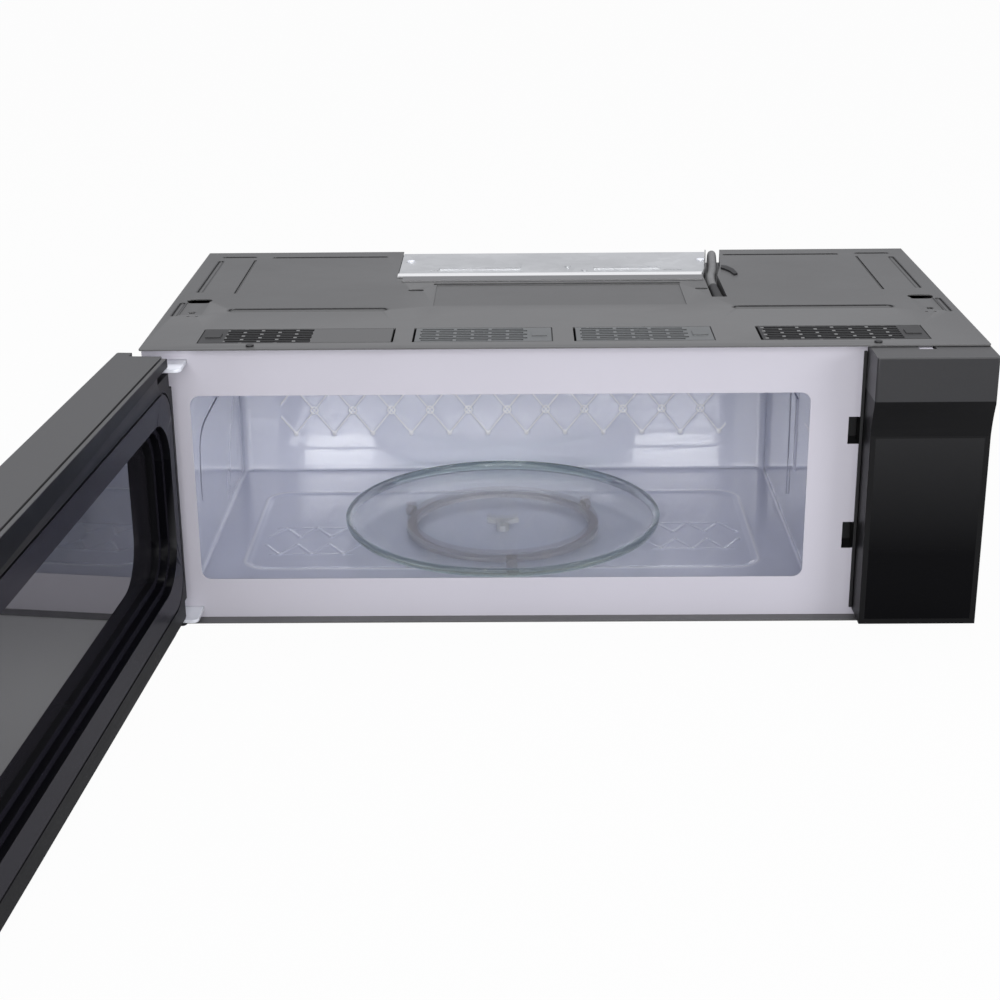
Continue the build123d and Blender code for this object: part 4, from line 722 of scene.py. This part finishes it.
def turntable_plate():
    """Glass dish: flat middle, a shallow step, and a rolled rim."""
    steps = 160
    verts = []
    for r, z in PLATE:
        for k in range(steps):
            a = 2 * math.pi * k / steps
            verts.append(at(TABLE[0] + r * math.cos(a), TABLE[1] + r * math.sin(a), z))
    faces = loft_faces(len(PLATE), steps, True)
    top, low = len(verts), len(verts) + 1
    verts += [at(*TABLE, PLATE[0][1]), at(*TABLE, PLATE[-1][1])]
    last = (len(PLATE) - 1) * steps
    for k in range(steps):
        n = (k + 1) % steps
        faces += [(top, n, k), (low, last + k, last + n)]
    faces = [face[::-1] for face in faces]
    add_mesh("turntable_dish", verts, faces, plate_glass, "turntable",
             replaced=("turntable_plate",))


# ---- Cord ------------------------------------------------------------------------
CORD = 9.5                   # diameter
TOP_HEIGHT = 266.4
CORD_Z = TOP_HEIGHT - CORD / 2 - 1.2       # in the top's channel
CORD_FLOOR = CORD / 2 + 1.1
COIL = (70.0, 492.0, 53.0)   # x, depth, radius
COIL_TURNS, COIL_STEPS = 1.25, 16
COIL_PITCH = 11.0


def cord_points():
    """The cord's route: out of the top, down behind the back, and round its coil."""
    z, floor = CORD_Z, CORD_FLOOR
    points = [
        (158.0, 247.0, z), (158.0, 282.0, z), (165.0, 322.0, z), (169.0, 364.0, z), (174.6, 430.0, z),
        (176.5, 455.0, z - 55.0), (178.5, 474.0, z - 104.0), (181.5, 482.0, z - 148.0),
        (184.0, 484.0, z - 192.0), (180.0, 500.0, floor + 16.0), (158.0, 530.0, floor), (116.0, 545.0, floor),
    ]
    steps = int(COIL_STEPS * COIL_TURNS)
    grow = 1 / math.cos(math.pi / COIL_STEPS)
    for i in range(steps + 1):
        a = math.pi / 2 + 2 * math.pi * i / COIL_STEPS
        r = COIL[2] * (grow if 0 < i < steps else 1.0)
        rise = COIL_PITCH * i / COIL_STEPS
        points.append((COIL[0] + r * math.cos(a), COIL[1] + r * math.sin(a), floor + rise))
    return [at(*p) for p in points]


def power_cord():
    curve = bpy.data.curves.new("mains_cord", "CURVE")
    curve.dimensions = "3D"
    spline = curve.splines.new("NURBS")
    points = cord_points()
    spline.points.add(len(points) - 1)
    for point, place in zip(spline.points, points):
        point.co = (place.x, place.y, place.z, 1.0)
    spline.order_u = 3
    spline.use_endpoint_u = True
    curve.resolution_u = 12
    curve.bevel_depth = CORD / 2000
    curve.bevel_resolution = 5
    curve.use_fill_caps = True
    obj = bpy.data.objects.new("mains_cord", curve)
    scene.collection.objects.link(obj)
    obj.data.materials.append(sheath)
    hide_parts("power_cord", "cord_coil")
    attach(obj, "cabinet")


# ---- Trims ---------------------------------------------------------------------
def gap_trim():
    """Black strip between the front frame and the control panel."""
    corners = [at(x, d, z) for z in (9.0, 258.0) for d in (10.6, 12.9) for x in (269.4, 272.3)]
    faces = [(0, 2, 3, 1), (4, 5, 7, 6), (0, 1, 5, 4), (2, 6, 7, 3), (0, 4, 6, 2), (1, 3, 7, 5)]
    obj = add_mesh("gap_trim", corners, faces, black_plastic, "cabinet")
    bevel = obj.modifiers.new("bevel", "BEVEL")
    bevel.width = 0.0004
    bevel.segments = 3
    bevel.harden_normals = True


def domed(name, x, depth, profile, material):
    """Small round dome or stud of the cabinet from its (radius, height) profile, top first."""
    steps = 24
    turns = [2 * math.pi * k / steps for k in range(steps)]
    verts = [at(x + r * math.cos(a), depth + r * math.sin(a), z) for r, z in profile for a in turns]
    faces = [face[::-1] for face in loft_faces(len(profile), steps, True)]
    add_mesh(name, verts, faces, material, "cabinet")


def return_spring():
    """Coil spring over the latch, in the latch spring's place and carried by the door."""
    corners = [nodes["latch_spring"].matrix_world @ Vector(c) for c in nodes["latch_spring"].bound_box]
    low, high = min(c.z for c in corners), max(c.z for c in corners)
    x = (min(c.x for c in corners) + max(c.x for c in corners)) / 2
    y = (min(c.y for c in corners) + max(c.y for c in corners)) / 2
    turns, steps, ring = 8, 24, 8
    wire, radius = 0.00045, 0.0016
    verts = []
    for i in range(turns * steps + 1):
        a = 2 * math.pi * i / steps
        z = low + wire + (high - low - 2 * wire) * i / (turns * steps)
        for j in range(ring):
            b = 2 * math.pi * j / ring
            r = radius + wire * math.cos(b)
            verts.append((x + r * math.cos(a), y + r * math.sin(a), z + wire * math.sin(b)))
    faces = loft_faces(turns * steps + 1, ring, True)
    last = turns * steps * ring
    faces += [tuple(reversed(range(ring))), tuple(range(last, last + ring))]
    obj = add_mesh("return_spring", verts, faces, steel, "door", replaced=("latch_spring",))
    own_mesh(obj)


# ---- Lights and floor -------------------------------------------------------------
LAMPS = {                    # place, target, width, height, watts
    "key": ((-0.5, -2.5, 1.35), (0, 0, 0.1), 1.5, 1.0, 19),
    "fill": ((1.9, -1.9, 1.0), (0, -0.1, 0.1), 1.2, 0.9, 20),
    "low": ((0.0, -2.6, 0.55), (0, 0, 0.08), 1.6, 0.6, 14),
    "top": ((0.1, 0.3, 2.2), (0, 0, 0), 1.8, 1.4, 35),
    # Two narrow lamps, whose patches shine on the cavity's back wall.
    "strip_left": ((-0.46, FRONT - 1.5537, 0.644), (-0.23, 0.17, 0.06), 0.18, 0.075, 1.45),
    "strip_right": ((0.31, FRONT - 1.5537, 0.644), (0.155, 0.17, 0.06), 0.19, 0.075, 2.3),
}
MIRRORED = 0.12              # the white that mirrored rays see, low as in the photograph's dark room


def lamp(name, place, target, width, height, power):
    data = bpy.data.lights.new(name, "AREA")
    data.shape = "RECTANGLE"
    data.size = width
    data.size_y = height
    data.energy = power
    obj = bpy.data.objects.new(name, data)
    obj.location = place
    obj.rotation_euler = (Vector(target) - Vector(place)).to_track_quat("-Z", "Y").to_euler()
    scene.collection.objects.link(obj)


def whitened(tree, plain, bright, white, out):
    """Show a white shader to straight rays and rays through glass, and a share of it to mirrored ones."""
    path = tree.nodes.new("ShaderNodeLightPath")
    share = None
    weights = {"Is Camera Ray": white, "Is Transmission Ray": white, "Is Glossy Ray": MIRRORED}
    for socket, weight in weights.items():
        part = sums(tree, "MULTIPLY", path.outputs[socket], weight)
        share = part if share is None else sums(tree, "MAXIMUM", share, part)
    mix = tree.nodes.new("ShaderNodeMixShader")
    link(tree, share, mix.inputs["Fac"])
    link(tree, plain, mix.inputs[1])
    link(tree, bright, mix.inputs[2])
    link(tree, mix.outputs["Shader"], out.inputs["Surface"])


def floor_sheet():
    data = bpy.data.meshes.new("floor")
    data.from_pydata([(-12, -12, 0), (12, -12, 0), (12, 12, 0), (-12, 12, 0)], [], [(0, 1, 2, 3)])
    ground = bpy.data.objects.new("floor", data)
    scene.collection.objects.link(ground)
    ground.location.z = -0.0005
    m, tree, shader = new_material("floor")
    shader.inputs["Base Color"].default_value = (0.42, 0.42, 0.43, 1)
    shader.inputs["Roughness"].default_value = 0.9
    white = tree.nodes.new("ShaderNodeEmission")
    white.inputs["Color"].default_value = (1, 1, 1, 1)
    whitened(tree, shader.outputs["BSDF"], white.outputs["Emission"], 0.97, tree.nodes["Material Output"])
    data.materials.append(m)


def surroundings():
    world = bpy.data.worlds.new("studio")
    scene.world = world
    world.use_nodes = True
    tree = world.node_tree
    back = tree.nodes["Background"]
    back.inputs["Color"].default_value = (0.93, 0.94, 1.0, 1)
    back.inputs["Strength"].default_value = 0.45
    bright = tree.nodes.new("ShaderNodeBackground")
    bright.inputs["Color"].default_value = (1, 1, 1, 1)
    whitened(tree, back.outputs["Background"], bright.outputs["Background"], 1.0, tree.nodes["World Output"])


place_camera()
for material, names in COATS.items():
    for node_name in names:
        coat(nodes[node_name], material)
for node_name, width in SOFTENED.items():
    soften(node_name, width)
cavity_liner()
cavity_floor()
cavity_ceiling()
cavity_shell()
turntable_plate()
power_cord()
gap_trim()
for name, (side, points, width) in SEAMS.items():
    seam(name, side, points, width)
# Painted highlight: the studs are white to stand for the glint on zinc rivets.
for name, x in (("plate_stud_left", -155.5), ("plate_stud_right", 155.5)):
    domed(name, x, 357.0, ((0.01, 267.1), (2.6, 267.0), (4.2, 266.6), (4.8, 265.6)),
          hinge_white)
domed("base_stop", -356.9, -4.3, ((4.6, 6.8), (4.6, 3.4), (4.2, 1.6), (3.0, 0.7), (0.01, 0.6)),
      black_plastic)
return_spring()
floor_sheet()
surroundings()
for name, settings in LAMPS.items():
    lamp(name, *settings)
